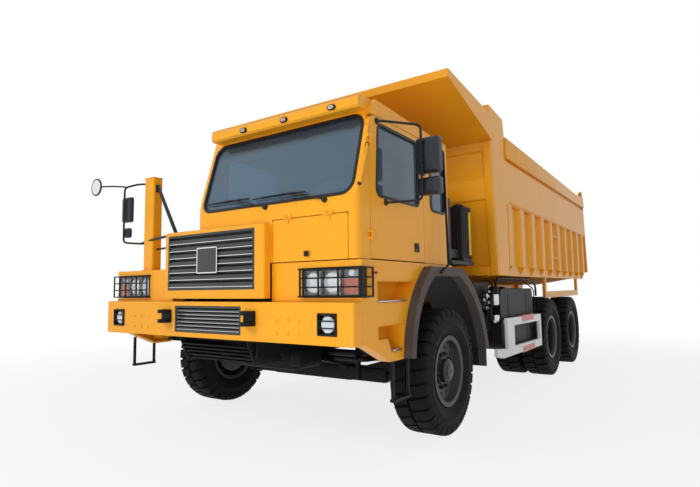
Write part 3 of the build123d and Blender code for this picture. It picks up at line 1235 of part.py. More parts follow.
with BuildPart() as driveline:
    block(-190, 190, bumper_y + 1850, bumper_y + 2400, 740, 1030)
    fillet(driveline.edges().filter_by(Axis.Y), 50)
    tube((0, bumper_y + 1670 + seat_gap, 980), (0, bumper_y + 1900, 980), 230)
    tube((0, bumper_y + 2399, 880), (0, second_axle_y - 440, 700), 55)
    tube((0, second_axle_y + 240, 690), (0, third_axle_y - 440, 700), 50)
    for flange_y, flange_z in ((second_axle_y - 420 - seat_gap, 700), (third_axle_y - 420 - seat_gap, 700)):
        tube((0, flange_y - 35, flange_z), (0, flange_y, flange_z), 90)
    tube((0, second_axle_y + 215 + seat_gap, 690), (0, second_axle_y + 250, 690), 90)
    for side in (1, -1):
        block(*sorted((side * 180, side * (rail_outer_x - rail_sheet - seat_gap))), bumper_y + 2100,
              bumper_y + 2180, 900, 980)
driveline.part.label = "driveline"
export_step(driveline.part, "parts/driveline.step")

# Tanks beside the frame: fuel on the cab side, hydraulic oil on the other, both on brackets
with BuildPart() as tanks:
    for side in (1, -1):
        with BuildPart(mode=Mode.PRIVATE) as tank:
            block(*sorted((side * tank_inner_x, side * tank_outer_x)), tank_front_y, tank_rear_y, tank_low_z,
                  tank_high_z)
            fillet(tank.edges().filter_by(Axis.X), tank_corner)
        add(tank.part)
        for strap_y in (tank_front_y + 220, tank_rear_y - 240):
            block(*sorted((side * (rail_outer_x + seat_gap), side * (tank_inner_x + 1))), strap_y - 40,
                  strap_y + 40, 1020, 1200)
tanks.part.label = "tanks"
export_step(tanks.part, "parts/tanks.step")

# Side guards outside the tanks
with BuildPart() as side_guards:
    for side in (1, -1):
        with BuildSketch(side_section(min(side * 1800, side * 1760))):
            with BuildLine():
                Polyline((bumper_y + 2900, 620), (bumper_y + 2900, 710), (bumper_y + 3330, 672),
                         (bumper_y + 3330, 1055), (bumper_y + 5010, 1035), (bumper_y + 5010, 555),
                         (bumper_y + 3130, 575), close=True)
            make_face()
            with BuildLine():
                Polyline((bumper_y + 3620, 680), (bumper_y + 3620, 950), (bumper_y + 4910, 935),
                         (bumper_y + 4910, 665), close=True)
            make_face(mode=Mode.SUBTRACT)
        extrude(amount=40)
        for strut_y in (bumper_y + 3500, bumper_y + 4800):
            block(*sorted((side * (tank_outer_x + seat_gap), side * 1761)), strut_y - 30, strut_y + 30, 960, 1020)
side_guards.part.label = "side_guards"
export_step(side_guards.part, "parts/side_guards.step")

# Air cleaner on its platform behind the cab, and the boxes and air tanks behind the front wheel
with BuildPart() as air_cleaner:
    block(1400, 1600, bumper_y + 2420, bumper_y + 2670, 1760, 2420)
    fillet(air_cleaner.edges().filter_by(Axis.Z), 18)
    block(1430, 1560, bumper_y + 2030, bumper_y + 2160, 1760, 2470)
    block(1460, 1540, bumper_y + 2159, bumper_y + 2421, 1800, 1900)
    block(980, 1620, bumper_y + 2020, bumper_y + 2700, 1720, 1761)
    block(*sorted((rail_outer_x - rail_flange, 990)), bumper_y + 2300, bumper_y + 2400, 1640, 1721)
    block(rail_outer_x - rail_flange, rail_outer_x, bumper_y + 2300, bumper_y + 2400, rail_top_z + seat_gap, 1641)
air_cleaner.part.label = "air_cleaner"
export_step(air_cleaner.part, "parts/air_cleaner.step")

with BuildPart() as service_boxes:
    for side in (1, -1):
        block(*sorted((side * 1000, side * 1560)), bumper_y + 2820, bumper_y + 3330, 1180, 1520)
        block(*sorted((side * (rail_outer_x + seat_gap), side * 1001)), bumper_y + 3000, bumper_y + 3100, 1060, 1200)
        tube((side * 1000, bumper_y + 2960, 1040), (side * 1600, bumper_y + 2960, 1040), 120)
        tube((side * 1000, bumper_y + 3210, 1010), (side * 1600, bumper_y + 3210, 1010), 110)
        block(*sorted((side * 960, side * 1001)), bumper_y + 2860, bumper_y + 3310, 900, 1200)
service_boxes.part.label = "service_boxes"
export_step(service_boxes.part, "parts/service_boxes.step")

# Mirror post on the deck, with its stays, and the mirrors it carries
post_x = -1230
post_front_y = bumper_y + 200
with BuildPart() as mirror_post:
    block(post_x - 85, post_x + 85, post_front_y, post_front_y + 120, deck_top_z + seat_gap, 2740)
    fillet(mirror_post.edges().filter_by(Axis.Z), 20)
mirror_post.part.label = "mirror_post"
export_step(mirror_post.part, "parts/mirror_post.step")

mirror_out = 400
mirror_x = cab_left_x + mirror_out
stay = 11
with BuildPart() as mirrors:
    post_face = post_x - 85 - seat_gap
    block(post_face - 14, post_face, post_front_y + 20, post_front_y + 60, 2665, 2715)
    block(post_face - 14, post_face, post_front_y + 20, post_front_y + 60, 1975, 2025)
    tube((post_face - 13, post_front_y + 40, 2690), (-1480, bumper_y + 60, 2640), stay)
    tube((-1480, bumper_y + 60, 2640), (-mirror_x + 190, bumper_y - 10, 2690), stay)
    with Locations(Location((-mirror_x + 105, bumper_y - 10, 2690), (90, 0, 0))):
        Cylinder(105, 30)
    tube((-1480, bumper_y + 60, 2640), (-1480, bumper_y + 60, 2010), stay)
    tube((-1480, bumper_y + 60, 2010), (post_face - 13, post_front_y + 40, 2000), stay)
    block(-1570, -1390, bumper_y + 70, bumper_y + 120, 2240, 2530)
    block(-1540, -1430, bumper_y + 70, bumper_y + 130, 2070, 2170)
mirrors.part.label = "mirrors"
export_step(mirrors.part, "parts/mirrors.step")

mirror_width = 225
with BuildPart() as door_mirrors:
    door_face = cab_left_x + seat_gap
    stay_x = mirror_x - 150
    block(door_face, door_face + 16, bumper_y + 395, bumper_y + 445, 2870, 2910)
    block(door_face, door_face + 16, bumper_y + 535, bumper_y + 585, 2180, 2220)
    tube((door_face + 9, bumper_y + 420, 2890), (stay_x, bumper_y + 760, 2880), stay)
    tube((stay_x, bumper_y + 760, 2880), (stay_x, bumper_y + 760, 2220), stay)
    tube((stay_x, bumper_y + 760, 2220), (door_face + 9, bumper_y + 560, 2200), stay)
    for depth, low_z, high_z in ((100, 2470, 2790), (80, 2290, 2420)):
        with BuildPart(mode=Mode.PRIVATE) as housing:
            block(mirror_x - mirror_width, mirror_x, bumper_y + 770, bumper_y + 770 + depth, low_z, high_z)
            fillet(housing.edges().filter_by(Axis.Z), 28)
        add(housing.part)
door_mirrors.part.label = "door_mirrors"
export_step(door_mirrors.part, "parts/door_mirrors.step")

# Hanging steps of bent bar under the side housings, the grab rail from the cab's rear edge down to the wheel
# arch, and the slatted guard under the engine
step_bar = 12
grab_radius = 12
grab_y = bumper_y + 1660
grab_top_z = 2900
grab_out = 62
grab_foot_x = arch_outer_x + seat_gap + grab_radius
grab_bend = 40
# side, front and rear of the step, height of its bar
hanging_table = ((-1, 340, 620, 610), (1, 572, 866, 520))
with BuildPart() as hanging_steps:
    for side, front, rear, low_z in hanging_table:
        x = side * (side_x - 2)
        block(x - 2 * step_bar, x + 2 * step_bar, bumper_y + front, bumper_y + rear, low_z - step_bar,
              low_z + step_bar)
        for leg in (front + step_bar, rear - step_bar):
            slope = (pod_slope_z - pod_bottom_z) / (pod_low_front_y - bumper_y - bumper_depth)
            rise = max(0, (pod_low_front_y - bumper_y - leg - step_bar) * slope)
            block(x - step_bar, x + step_bar, bumper_y + leg - step_bar, bumper_y + leg + step_bar, low_z,
                  pod_bottom_z - seat_gap + rise)
    with BuildPart(mode=Mode.PRIVATE) as grab_rail:
        with BuildLine() as rail_route:
            FilletPolyline((cab_left_x + seat_gap, grab_y, grab_top_z), (cab_left_x + grab_out, grab_y, grab_top_z),
                           (cab_left_x + grab_out, grab_y + 30, 2255), (grab_foot_x, grab_y - 60, 1690),
                           (grab_foot_x, grab_y - 240, 1605), radius=grab_bend)
        with BuildSketch(Plane(rail_route.line @ 0, z_dir=rail_route.line % 0)) as rail_section:
            Circle(grab_radius)
        sweep(sections=rail_section.sketch, path=rail_route.line)
    add(grab_rail.part)
hanging_steps.part.label = "hanging_steps"
export_step(hanging_steps.part, "parts/hanging_steps.step")

with BuildPart() as skid_plate:
    for side in (1, -1):
        side_plate([(bumper_y + 160, rail_bottom_z - seat_gap), (bumper_y + 160, 830), (bumper_y + 520, 770),
                    (bumper_y + 520, rail_bottom_z - seat_gap)], side * 440, side * 460)
    for slat in range(6):
        slat_y = bumper_y + 170 + slat * 62
        slat_z = 830 - slat * 10
        block(-441, 441, slat_y, slat_y + 36, slat_z - 12, slat_z)
skid_plate.part.label = "skid_plate"
export_step(skid_plate.part, "parts/skid_plate.step")
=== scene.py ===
from math import cos, exp, pi, radians, sin, tan

import bmesh
import bpy
from mathutils import Matrix, Vector


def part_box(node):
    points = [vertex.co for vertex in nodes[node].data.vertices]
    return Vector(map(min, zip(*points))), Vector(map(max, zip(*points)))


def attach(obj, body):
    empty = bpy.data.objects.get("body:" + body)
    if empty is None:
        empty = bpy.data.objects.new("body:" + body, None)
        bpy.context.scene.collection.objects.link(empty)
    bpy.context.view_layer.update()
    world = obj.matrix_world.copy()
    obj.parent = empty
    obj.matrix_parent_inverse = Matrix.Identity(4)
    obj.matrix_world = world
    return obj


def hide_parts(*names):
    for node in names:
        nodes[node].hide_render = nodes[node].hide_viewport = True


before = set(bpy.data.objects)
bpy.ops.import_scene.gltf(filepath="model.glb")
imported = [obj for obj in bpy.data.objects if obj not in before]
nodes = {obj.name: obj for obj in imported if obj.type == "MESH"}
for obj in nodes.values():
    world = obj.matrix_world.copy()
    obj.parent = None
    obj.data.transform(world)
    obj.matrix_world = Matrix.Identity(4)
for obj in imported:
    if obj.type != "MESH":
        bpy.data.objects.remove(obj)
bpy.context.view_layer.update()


# Places that the pieces below are worked out from, in metres

front_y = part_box("front_bumper")[0].y
sides = (("left", 1), ("right", -1))
wheel_radius = 0.625
front_axle_y = front_y + 1.647
rear_axle_ys = {"second": front_y + 5.714, "third": front_y + 7.359}
front_wheel_x = 1.5525
outer_wheel_x = 1.6225
inner_wheel_x = 1.1835
side_x = 1.667
cab_left_x = 1.650
cab_right_x = -0.270
cab_front_s = 0.105
cab_rear_s = 1.930
screen_base_z = 2.190
screen_slope = 0.240 / 0.820
roof_peak_s, roof_peak_z = 0.405, 3.072
roof_rear_z = 3.005
roof_slope = (roof_peak_z - roof_rear_z) / (cab_rear_s - roof_peak_s)
forwards = (0, -1, 0)
upwards = (0, 0, 1)


def at(x, s, z):
    """Place s behind the bumper's face, x from the centre line and z above the ground."""
    return Vector((x, front_y + s, z))


# Materials, all from nodes

def connect(tree, value, socket):
    """Gives the input a fixed value or the output of another node."""
    if isinstance(value, bpy.types.NodeSocket):
        tree.links.new(value, socket)
    else:
        socket.default_value = value


def set_inputs(tree, node, **values):
    """Gives the node's inputs by name, with underscores for the spaces."""
    for name, value in values.items():
        connect(tree, value, node.inputs[name.replace("_", " ")])


def new_node(tree, kind, **values):
    node = tree.nodes.new(kind)
    set_inputs(tree, node, **values)
    return node


def math_node(tree, operation, *values):
    """Output of a Math node, whose inputs are numbers or other outputs."""
    node = tree.nodes.new("ShaderNodeMath")
    node.operation = operation
    for socket, value in zip(node.inputs, values):
        connect(tree, value, socket)
    return node.outputs[0]


def mix_colors(tree, share, first, second):
    """Output of a node that turns the first colour into the second by the share."""
    node = tree.nodes.new("ShaderNodeMix")
    node.data_type = "RGBA"
    set_inputs(tree, node, Factor=share, A=first, B=second)
    return node.outputs["Result"]


def empty_material(name):
    material = bpy.data.materials.new(name)
    material.use_nodes = True
    return material, material.node_tree, material.node_tree.nodes["Principled BSDF"]


def surface(name, color, roughness, grain, spread, bump, depth=0.002, metallic=0.0, coat=0.0, edge=0.0,
            specular=0.5, sheen=0.0, second=None):
    """Material whose colour and roughness vary a little, with a fine bump. spread is the share of variation,
    edge the radius that its edges are rounded by, and second a mask with the colour that it brings."""
    material, tree, shader = empty_material(name)
    place = new_node(tree, "ShaderNodeTexCoord").outputs["Object"]
    broad = new_node(tree, "ShaderNodeTexNoise", Vector=place, Scale=1.7, Detail=5.0).outputs["Fac"]
    fine = new_node(tree, "ShaderNodeTexNoise", Vector=place, Scale=grain, Detail=3.0).outputs["Fac"]
    tint = new_node(tree, "ShaderNodeValToRGB", Fac=broad)
    dark, bright = tint.color_ramp.elements
    dark.position = 0.32
    bright.position = 0.68
    dark.color = (*(c * (1 - spread) for c in color), 1)
    bright.color = (*(min(1, c * (1 + spread)) for c in color), 1)
    gloss = new_node(tree, "ShaderNodeMapRange", Value=fine, From_Min=0.3, From_Max=0.7,
                     To_Min=max(0.02, roughness * 0.88), To_Max=min(1.0, roughness * 1.14))
    relief = new_node(tree, "ShaderNodeBump", Height=fine, Strength=bump, Distance=depth)
    if edge:
        rounding = new_node(tree, "ShaderNodeBevel", Radius=edge)
        rounding.samples = 4
        set_inputs(tree, relief, Normal=rounding.outputs["Normal"])
    base = tint.outputs["Color"]
    if second:
        mask, second_color = second
        base = mix_colors(tree, mask(tree, place), base, (*second_color, 1))
    set_inputs(tree, shader, Base_Color=base, Roughness=gloss.outputs["Result"], Metallic=metallic,
               Normal=relief.outputs["Normal"], Coat_Weight=coat, Coat_Roughness=0.12,
               Specular_IOR_Level=specular, Sheen_Weight=sheen)
    return material


def axes_of(tree, place):
    """Outputs of the place's x, y and z."""
    return new_node(tree, "ShaderNodeSeparateXYZ", Vector=place).outputs


# How far inside the cab's outer faces its inner colour begins
inner_front, inner_side, inner_rear, inner_roof = 0.030, 0.037, 0.036, 0.016


def inside_cab(tree, place):
    """1 on the cab's inner faces and 0 outside, from the place in the cab's own frame."""
    x, y, z = axes_of(tree, place)

    def result(operation, *values):
        return math_node(tree, operation, *values)

    lean = result("MULTIPLY", result("MAXIMUM", result("SUBTRACT", z, screen_base_z), 0.0), screen_slope)
    deep = result("GREATER_THAN", result("SUBTRACT", y, lean), front_y + cab_front_s + inner_front)
    ahead = result("LESS_THAN", y, front_y + cab_rear_s - inner_rear)
    half_width = (cab_left_x - cab_right_x) / 2
    across = result("COMPARE", x, cab_left_x - half_width, half_width - inner_side)
    roof_drop = result("MULTIPLY", result("SUBTRACT", y, front_y + roof_peak_s), roof_slope)
    under_roof = result("LESS_THAN", result("ADD", z, roof_drop), roof_peak_z - inner_roof)
    return result("MULTIPLY", result("MULTIPLY", result("MULTIPLY", deep, across), ahead), under_roof)


def behind_trim(tree, place):
    """1 on the liners and flaps of the wheel arches, and 0 on the trim outside them."""
    trim_depth = 0.021
    return math_node(tree, "LESS_THAN", math_node(tree, "ABSOLUTE", axes_of(tree, place)["X"]),
                     side_x - trim_depth)


band_low_z, band_high_z, band_rear_s = 2.78, 2.86, 0.38


def glass(name, color, roughness, transmission, band_color=None, specular=0.5):
    """Glass with a faint waviness, and with a darker band along the top of the windscreen."""
    material, tree, shader = empty_material(name)
    place = new_node(tree, "ShaderNodeTexCoord").outputs["Object"]
    waves = new_node(tree, "ShaderNodeTexNoise", Vector=place, Scale=1.2)
    relief = new_node(tree, "ShaderNodeBump", Height=waves.outputs["Fac"], Strength=0.04, Distance=0.01)
    base = (*color, 1)
    if band_color:
        axes = axes_of(tree, place)
        height = new_node(tree, "ShaderNodeMapRange", Value=axes["Z"], From_Min=band_low_z,
                          From_Max=band_high_z)
        ahead = math_node(tree, "LESS_THAN", axes["Y"], front_y + band_rear_s)
        share = math_node(tree, "MULTIPLY", height.outputs["Result"], ahead)
        base = mix_colors(tree, share, base, (*band_color, 1))
    set_inputs(tree, shader, Base_Color=base, Normal=relief.outputs["Normal"], Roughness=roughness,
               Transmission_Weight=transmission, IOR=1.45, Specular_IOR_Level=specular)
    return material


# Name, colour, roughness, grain, spread and bump, then what sets the material apart
paint_look = {"roughness": 0.4, "coat": 0.12, "grain": 180, "spread": 0.03, "bump": 0.03,
              "depth": 0.0006, "edge": 0.006, "specular": 0.35}
yellow_color = (0.88, 0.375, 0.012)
yellow = surface("yellow_paint", yellow_color, **paint_look)
cab_grey = (0.16, 0.165, 0.17)
cab_yellow = surface("cab_yellow", yellow_color, second=(inside_cab, cab_grey), **paint_look)
chassis_black = surface("chassis_black", (0.0065, 0.0065, 0.007), 0.5, 60, 0.3, 0.12, edge=0.003,
                        specular=0.18)
tyre_rubber = surface("tyre_rubber", (0.0072, 0.0068, 0.0064), 0.75, 90, 0.25, 0.25, specular=0.16)
trim_rubber = surface("trim_rubber", (0.078, 0.062, 0.054), 0.6, 220, 0.12, 0.15, depth=0.001, edge=0.004,
                      second=(behind_trim, (0.007, 0.007, 0.007)), specular=0.25)
rim_paint = surface("rim_paint", (0.016, 0.018, 0.019), 0.42, 70, 0.25, 0.08, specular=0.45)
plastic = surface("black_plastic", (0.010, 0.010, 0.011), 0.42, 260, 0.15, 0.2, depth=0.0008, edge=0.002,
                  specular=0.3)
slat_grey = surface("slat_grey", (0.035, 0.037, 0.040), 0.4, 160, 0.15, 0.06, depth=0.0008)
bare_metal = surface("bare_metal", (0.58, 0.59, 0.60), 0.3, 150, 0.08, 0.05, metallic=1.0)
tread_metal = surface("tread_metal", (0.42, 0.38, 0.33), 0.45, 90, 0.2, 0.3, metallic=0.6)
chrome = surface("chrome", (0.82, 0.83, 0.85), 0.12, 40, 0.02, 0.01, metallic=1.0)
mirror_slate = surface("mirror_slate", (0.016, 0.022, 0.030), 0.36, 200, 0.1, 0.1, coat=0.15, depth=0.0008,
                       specular=0.3)
mirror_face = surface("mirror_face", (0.78, 0.80, 0.82), 0.04, 3, 0.02, 0.01, metallic=1.0)
interior = surface("interior_plastic", (0.06, 0.063, 0.068), 0.7, 320, 0.1, 0.3, depth=0.0008)
dash_grey = surface("dash_grey", (0.42, 0.44, 0.46), 0.6, 320, 0.06, 0.2, depth=0.0008)
white_paint = surface("white_paint", (0.80, 0.82, 0.82), 0.4, 120, 0.04, 0.04, coat=0.2, edge=0.004)
red_paint = surface("red_paint", (0.62, 0.14, 0.08), 0.42, 120, 0.08, 0.04, coat=0.2)
amber_lens = glass("amber_lens", (0.92, 0.16, 0.02), 0.18, 0.35)
clear_lens = glass("clear_lens", (0.95, 0.97, 0.98), 0.03, 0.97)
red_lens = glass("red_lens", (0.55, 0.01, 0.01), 0.15, 0.3)
reflector = surface("reflector", (0.82, 0.84, 0.86), 0.18, 26, 0.08, 0.25, metallic=0.55, depth=0.004)
# The window glass lets 72% of light through and shows the rest as its blue base colour, lit. This is a
# painted reflection: a haze that stands in for the sky mirrored in the glass.
window_glass = glass("window_glass", (0.20, 0.32, 0.43), 0.02, 0.72, band_color=(0.07, 0.13, 0.19),
                     specular=0.25)
marker_lens = surface("marker_lens", (0.42, 0.36, 0.30), 0.25, 120, 0.1, 0.2, coat=0.6)
seat_cloth = surface("seat_cloth", (0.035, 0.037, 0.042), 0.9, 500, 0.15, 0.4, depth=0.001, sheen=0.3)
filter_grey = surface("filter_grey", (0.018, 0.019, 0.020), 0.5, 90, 0.2, 0.1, specular=0.3)
label_yellow = surface("label_yellow", (0.72, 0.46, 0.02), 0.5, 100, 0.05, 0.03)

# How the names of a material's nodes begin. The other nodes are black.
node_materials = {
    yellow: ("bed_", "front_bumper", "front_hatch", "hood", "mirror_post", "side_pod", "step_wells",
             "tailgate", "hoist_barrel"),
    cab_yellow: ("cab_door", "cab_shell"),
    tyre_rubber: ("tyre",),
    rim_paint: ("rim",),
    trim_rubber: ("fenders",),
    slat_grey: ("grilles",),
    bare_metal: ("hoist_stage",),
    mirror_slate: ("mirrors", "door_mirrors"),
    interior: ("cab_fittings", "steering_wheel"),
    white_paint: ("side_guards",),
    window_glass: ("cab_glass", "door_glass"),
    clear_lens: ("lamps",),
    seat_cloth: ("seats",),
    filter_grey: ("air_cleaner",),
}
for name, node in nodes.items():
    found = [material for material, starts in node_materials.items() if name.startswith(starts)]
    node.data.materials.clear()
    node.data.materials.append(found[0] if found else chassis_black)


# Shapes that the pieces are made of

# Angle in radians from which an edge is sharp, and the least radius of a turned tip
sharp_angle, tip_radius = 0.5, 0.0004


class Shape:
    """Mesh under construction. Each part of it is a small closed mesh, of the usual material or its own."""

    def __init__(self, usual):
        self.mesh = bmesh.new()
        self.usual = usual
        self.materials = []

    def take(self, part, material=None, bevel=0.0, segments=2):
        """Adds the part, with its sharp edges rounded by bevel."""
        bmesh.ops.recalc_face_normals(part, faces=part.faces)
        if bevel:
            sharp = [e for e in part.edges if e.calc_face_angle(0.0) > sharp_angle]
            bmesh.ops.bevel(part, geom=sharp, offset=bevel, segments=segments, affect="EDGES", profile=0.5,
                            clamp_overlap=True)
        material = material or self.usual
        if material not in self.materials:
            self.materials.append(material)
        for face in part.faces:
            face.material_index = self.materials.index(material)
            face.smooth = True
        loose = bpy.data.meshes.new("part")
        part.to_mesh(loose)
        part.free()
        self.mesh.from_mesh(loose)
        bpy.data.meshes.remove(loose)

    def loft(self, rings, material=None, closed=False, bevel=0.0, segments=2):
        """Skin over rings with the same number of points, capped at both ends unless it closes."""
        part = bmesh.new()
        loops = [[part.verts.new(p) for p in ring] for ring in rings]
        pairs = list(zip(loops, loops[1:]))
        if closed:
            pairs.append((loops[-1], loops[0]))
        else:
            part.faces.new(loops[0])
            part.faces.new(loops[-1])
        count = len(loops[0])
        for first, second in pairs:
            for i in range(count):
                j = (i + 1) % count
                part.faces.new((first[i], first[j], second[j], second[i]))
        self.take(part, material, bevel, segments)

    def block(self, low, high, material=None, bevel=0.0, segments=2):
        """Box between two corners."""
        x0, y0, z0 = (min(pair) for pair in zip(low, high))
        x1, y1, z1 = (max(pair) for pair in zip(low, high))
        rings = [[Vector((x, y, z)) for x, y in rectangle(x0, x1, y0, y1)] for z in (z0, z1)]
        self.loft(rings, material, bevel=bevel, segments=segments)

    def slab(self, corners, depth, material=None, bevel=0.0):
        """Flat outline, thickened by the vector depth."""
        self.loft([corners, [c + Vector(depth) for c in corners]], material, bevel=bevel)

    def plate(self, corners, radius, place, w, depth, material=None, bevel=0.0):
        """Slab of rounded (u, v) corners, at w along the third axis of place."""
        self.slab([place(u, v, w) for u, v in rounded_corners(corners, radius)], depth, material, bevel)

    def turned(self, profile, centre, axis, material=None, segments=32, closed=False):
        """Points of distance along the axis and radius, turned round it."""
        axis = Vector(axis).normalized()
        across = axis.orthogonal().normalized()
        upward = axis.cross(across)
        rings = [circle(centre + axis * along, max(radius, tip_radius), across, upward, segments)
                 for along, radius in profile]
        self.loft(rings, material, closed=closed)

    def bar(self, points, radius, material=None, bend=0.0, facets=12):
        """Round bar along the points, whose corners are rounded by bend."""
        path = rounded_path(points, bend)
        last = len(path) - 1
        across = (path[1] - path[0]).orthogonal().normalized()
        rings = []
        for i, place in enumerate(path):
            tangent = (path[min(i + 1, last)] - path[max(i - 1, 0)]).normalized()
            across = (across - tangent * across.dot(tangent)).normalized()
            rings.append(circle(place, radius, across, tangent.cross(across), facets))
        self.loft(rings, material)

    def frame_ring(self, corners, radius, outside, inside, place, low, high, material=None, bevel=0.0):
        """Rounded frame along an outline of (u, v) corners, from low to high along the third axis of place.
        It reaches beyond the outline by outside and within it by inside."""
        outer = rounded_corners(inset(corners, -outside), radius + outside)
        inner = rounded_corners(inset(corners, inside), max(radius - inside, 0.004))
        rings = [[place(u, v, w) for u, v in line] for line, w in
                 ((outer, low), (outer, high), (inner, high), (inner, low))]
        self.loft(rings, material, closed=True, bevel=bevel)


def circle(centre, radius, across, upward, count):
    turns = [2 * pi * i / count for i in range(count)]
    return [centre + radius * (cos(a) * across + sin(a) * upward) for a in turns]


def rounded_path(points, bend):
    """The points with each corner replaced by a short curve."""
    path = [points[0]]
    for before, corner, after in zip(points, points[1:], points[2:]):
        start = corner + (before - corner).normalized() * bend
        end = corner + (after - corner).normalized() * bend
        for step in range(6 if bend else 1):
            t = step / 5 if bend else 0.5
            path.append((1 - t) ** 2 * start + 2 * t * (1 - t) * corner + t ** 2 * end)
    path.append(points[-1])
    return path


def inset(corners, distance):
    """Corners of a convex outline, in anticlockwise order, moved inwards by distance."""
    moved = []
    for i, corner in enumerate(corners):
        before = Vector(corner) - Vector(corners[i - 1])
        after = Vector(corners[(i + 1) % len(corners)]) - Vector(corner)
        normals = [Vector((-d.y, d.x)).normalized() for d in (before, after)]
        shift = (normals[0] + normals[1]) * distance / (1 + normals[0].dot(normals[1]))
        moved.append(Vector(corner) + shift)
    return moved


def rounded_corners(corners, radius, steps=6):
    """Outline whose corners are arcs."""
    line = []
    for i, corner in enumerate(corners):
        corner = Vector(corner)
        before = (Vector(corners[i - 1]) - corner).normalized()
        after = (Vector(corners[(i + 1) % len(corners)]) - corner).normalized()
        half = before.angle(after) / 2
        centre = corner + (before + after).normalized() * radius / sin(half)
        start = corner + before * radius / tan(half) - centre
        end = corner + after * radius / tan(half) - centre
        for step in range(steps + 1):
            line.append(centre + start.slerp(end, step / steps).normalized() * radius)
    return line


def rectangle(low_u, high_u, low_v, high_v):
    return [(low_u, low_v), (high_u, low_v), (high_u, high_v), (low_u, high_v)]


def add_object(name, data):
    made = bpy.data.objects.new(name, data)
    bpy.context.scene.collection.objects.link(made)
    return made


def piece(name, shape, body, replaces=(), sharp=35):
    """Object of the finished shape, riding on a CAD body."""
    mesh = bpy.data.meshes.new(name)
    shape.mesh.to_mesh(mesh)
    shape.mesh.free()
    for material in shape.materials:
        mesh.materials.append(material)
    mesh.set_sharp_from_angle(angle=radians(sharp))
    made = add_object(name, mesh)
    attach(made, body)
    if replaces:
        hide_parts(*replaces)
    return made


# Tyres: a smooth carcass with ribs round its walls, and two staggered rows of lugs

tyre_wall = ((0.150, 0.3495), (0.160, 0.362), (0.165, 0.384), (0.171, 0.396), (0.1745, 0.402),
             (0.1785, 0.406), (0.189, 0.436), (0.1945, 0.460), (0.1975, 0.464), (0.1975, 0.474),
             (0.1955, 0.478), (0.194, 0.505), (0.191, 0.530), (0.183, 0.556), (0.174, 0.574), (0.160, 0.590))
lug_top = ((0.012, 0.6245), (0.132, 0.6245), (0.164, 0.6195), (0.181, 0.604), (0.190, 0.580),
           (0.1935, 0.548))
lug_foot = ((0.020, 0.590), (0.130, 0.588), (0.155, 0.580), (0.170, 0.566), (0.180, 0.552), (0.186, 0.540))
lugs_in_row = 30
lug_share_top, lug_share_foot, lug_slant = 0.78, 0.90, 0.35


def add_tyre(shape, centre):
    profile = [(-d, r) for d, r in tyre_wall] + list(reversed(tyre_wall))
    shape.turned(profile, centre, (1, 0, 0), segments=96, closed=True)
    pitch = 2 * pi / lugs_in_row
    for side in (-1, 1):
        for lug in range(lugs_in_row):
            middle = pitch * (lug + (0.5 if side > 0 else 0.0))

            def place(d, r, share):
                turn = middle + side * lug_slant * d + share * pitch / 2
                return centre + Vector((side * d, r * sin(turn), r * cos(turn)))

            rings = [[place(*top, -lug_share_top), place(*top, lug_share_top), place(*foot, lug_share_foot),
                      place(*foot, -lug_share_foot)] for top, foot in zip(lug_top, lug_foot)]
            shape.loft(rings)


for name, side in sides:
    tyre = Shape(tyre_rubber)
    add_tyre(tyre, Vector((side * front_wheel_x, front_axle_y, wheel_radius)))
    piece(f"lugged_tyre_front_{name}", tyre, f"wheel_front_{name}", [f"tyre_front_{name}"])
    for axle, axle_y in rear_axle_ys.items():
        tyre = Shape(tyre_rubber)
        for x in (outer_wheel_x, inner_wheel_x):
            add_tyre(tyre, Vector((side * x, axle_y, wheel_radius)))
        piece(f"lugged_tyres_{axle}_{name}", tyre, f"wheels_{axle}_{name}",
              [f"tyres_{axle}_{name}"])


# Wheel discs: hand holes, wheel nuts on studs, hub bolts and caps

def add_ring(shape, centre, outward, along, radius, profile, material=None, segments=6):
    """The same turned part at each nut's place round the wheel's axis."""
    for i in range(nuts_on_wheel):
        turn = 2 * pi * (i + 0.5) / nuts_on_wheel
        spot = centre + Vector((outward * along, radius * sin(turn), radius * cos(turn)))
        shape.turned(profile, spot, (outward, 0, 0), material, segments)


nut_profile = ((0, 0.023), (0.006, 0.023), (0.007, 0.0185), (0.026, 0.0185), (0.030, 0.015), (0.031, 0.009),
               (0.046, 0.009), (0.048, 0.006))
bolt_profile = ((0, 0.013), (0.002, 0.013), (0.003, 0.0105), (0.011, 0.0105), (0.013, 0.007))
hole_profile = ((-0.004, 0.027), (0.003, 0.027), (0.004, 0.024), (0.0005, 0.021), (-0.003, 0.010))
flange_profile = ((0.084, 0.140), (0.098, 0.140), (0.102, 0.136), (0.104, 0.119), (0.084, 0.119))
front_cap = ((0.166, 0.078), (0.176, 0.076), (0.182, 0.066), (0.184, 0.050), (0.186, 0.018), (0.190, 0.016),
             (0.192, 0.008))
rear_cap = ((0.066, 0.060), (0.078, 0.058), (0.084, 0.050), (0.088, 0.030), (0.089, 0.006))
nuts_on_wheel = 10

for name, side in sides:
    centre = Vector((side * front_wheel_x, front_axle_y, wheel_radius))
    hub = Shape(rim_paint)
    add_ring(hub, centre, side, 0.093, 0.243, hole_profile, plastic, 24)
    add_ring(hub, centre, side, 0.086, 0.167, nut_profile)
    hub.turned(flange_profile, centre, (side, 0, 0), segments=48, closed=True)
    add_ring(hub, centre, side, 0.150, 0.104, bolt_profile)
    hub.turned(front_cap, centre, (side, 0, 0), slat_grey, 48)
    piece(f"hub_trim_front_{name}", hub, f"wheel_front_{name}")
    for axle, axle_y in rear_axle_ys.items():
        centre = Vector((side * outer_wheel_x, axle_y, wheel_radius))
        hub = Shape(rim_paint)
        add_ring(hub, centre, side, -0.143, 0.248, hole_profile, plastic, 24)
        add_ring(hub, centre, side, -0.144, 0.188, nut_profile)
        add_ring(hub, centre, side, -0.020, 0.122, bolt_profile)
        hub.turned(rear_cap, centre, (side, 0, 0), bare_metal, 40)
        piece(f"hub_trim_{axle}_{name}", hub, f"wheels_{axle}_{name}")


# Lamps: housings with reflectors, bulbs, lenses and the orange signal, fog lamps, markers and tail lamps

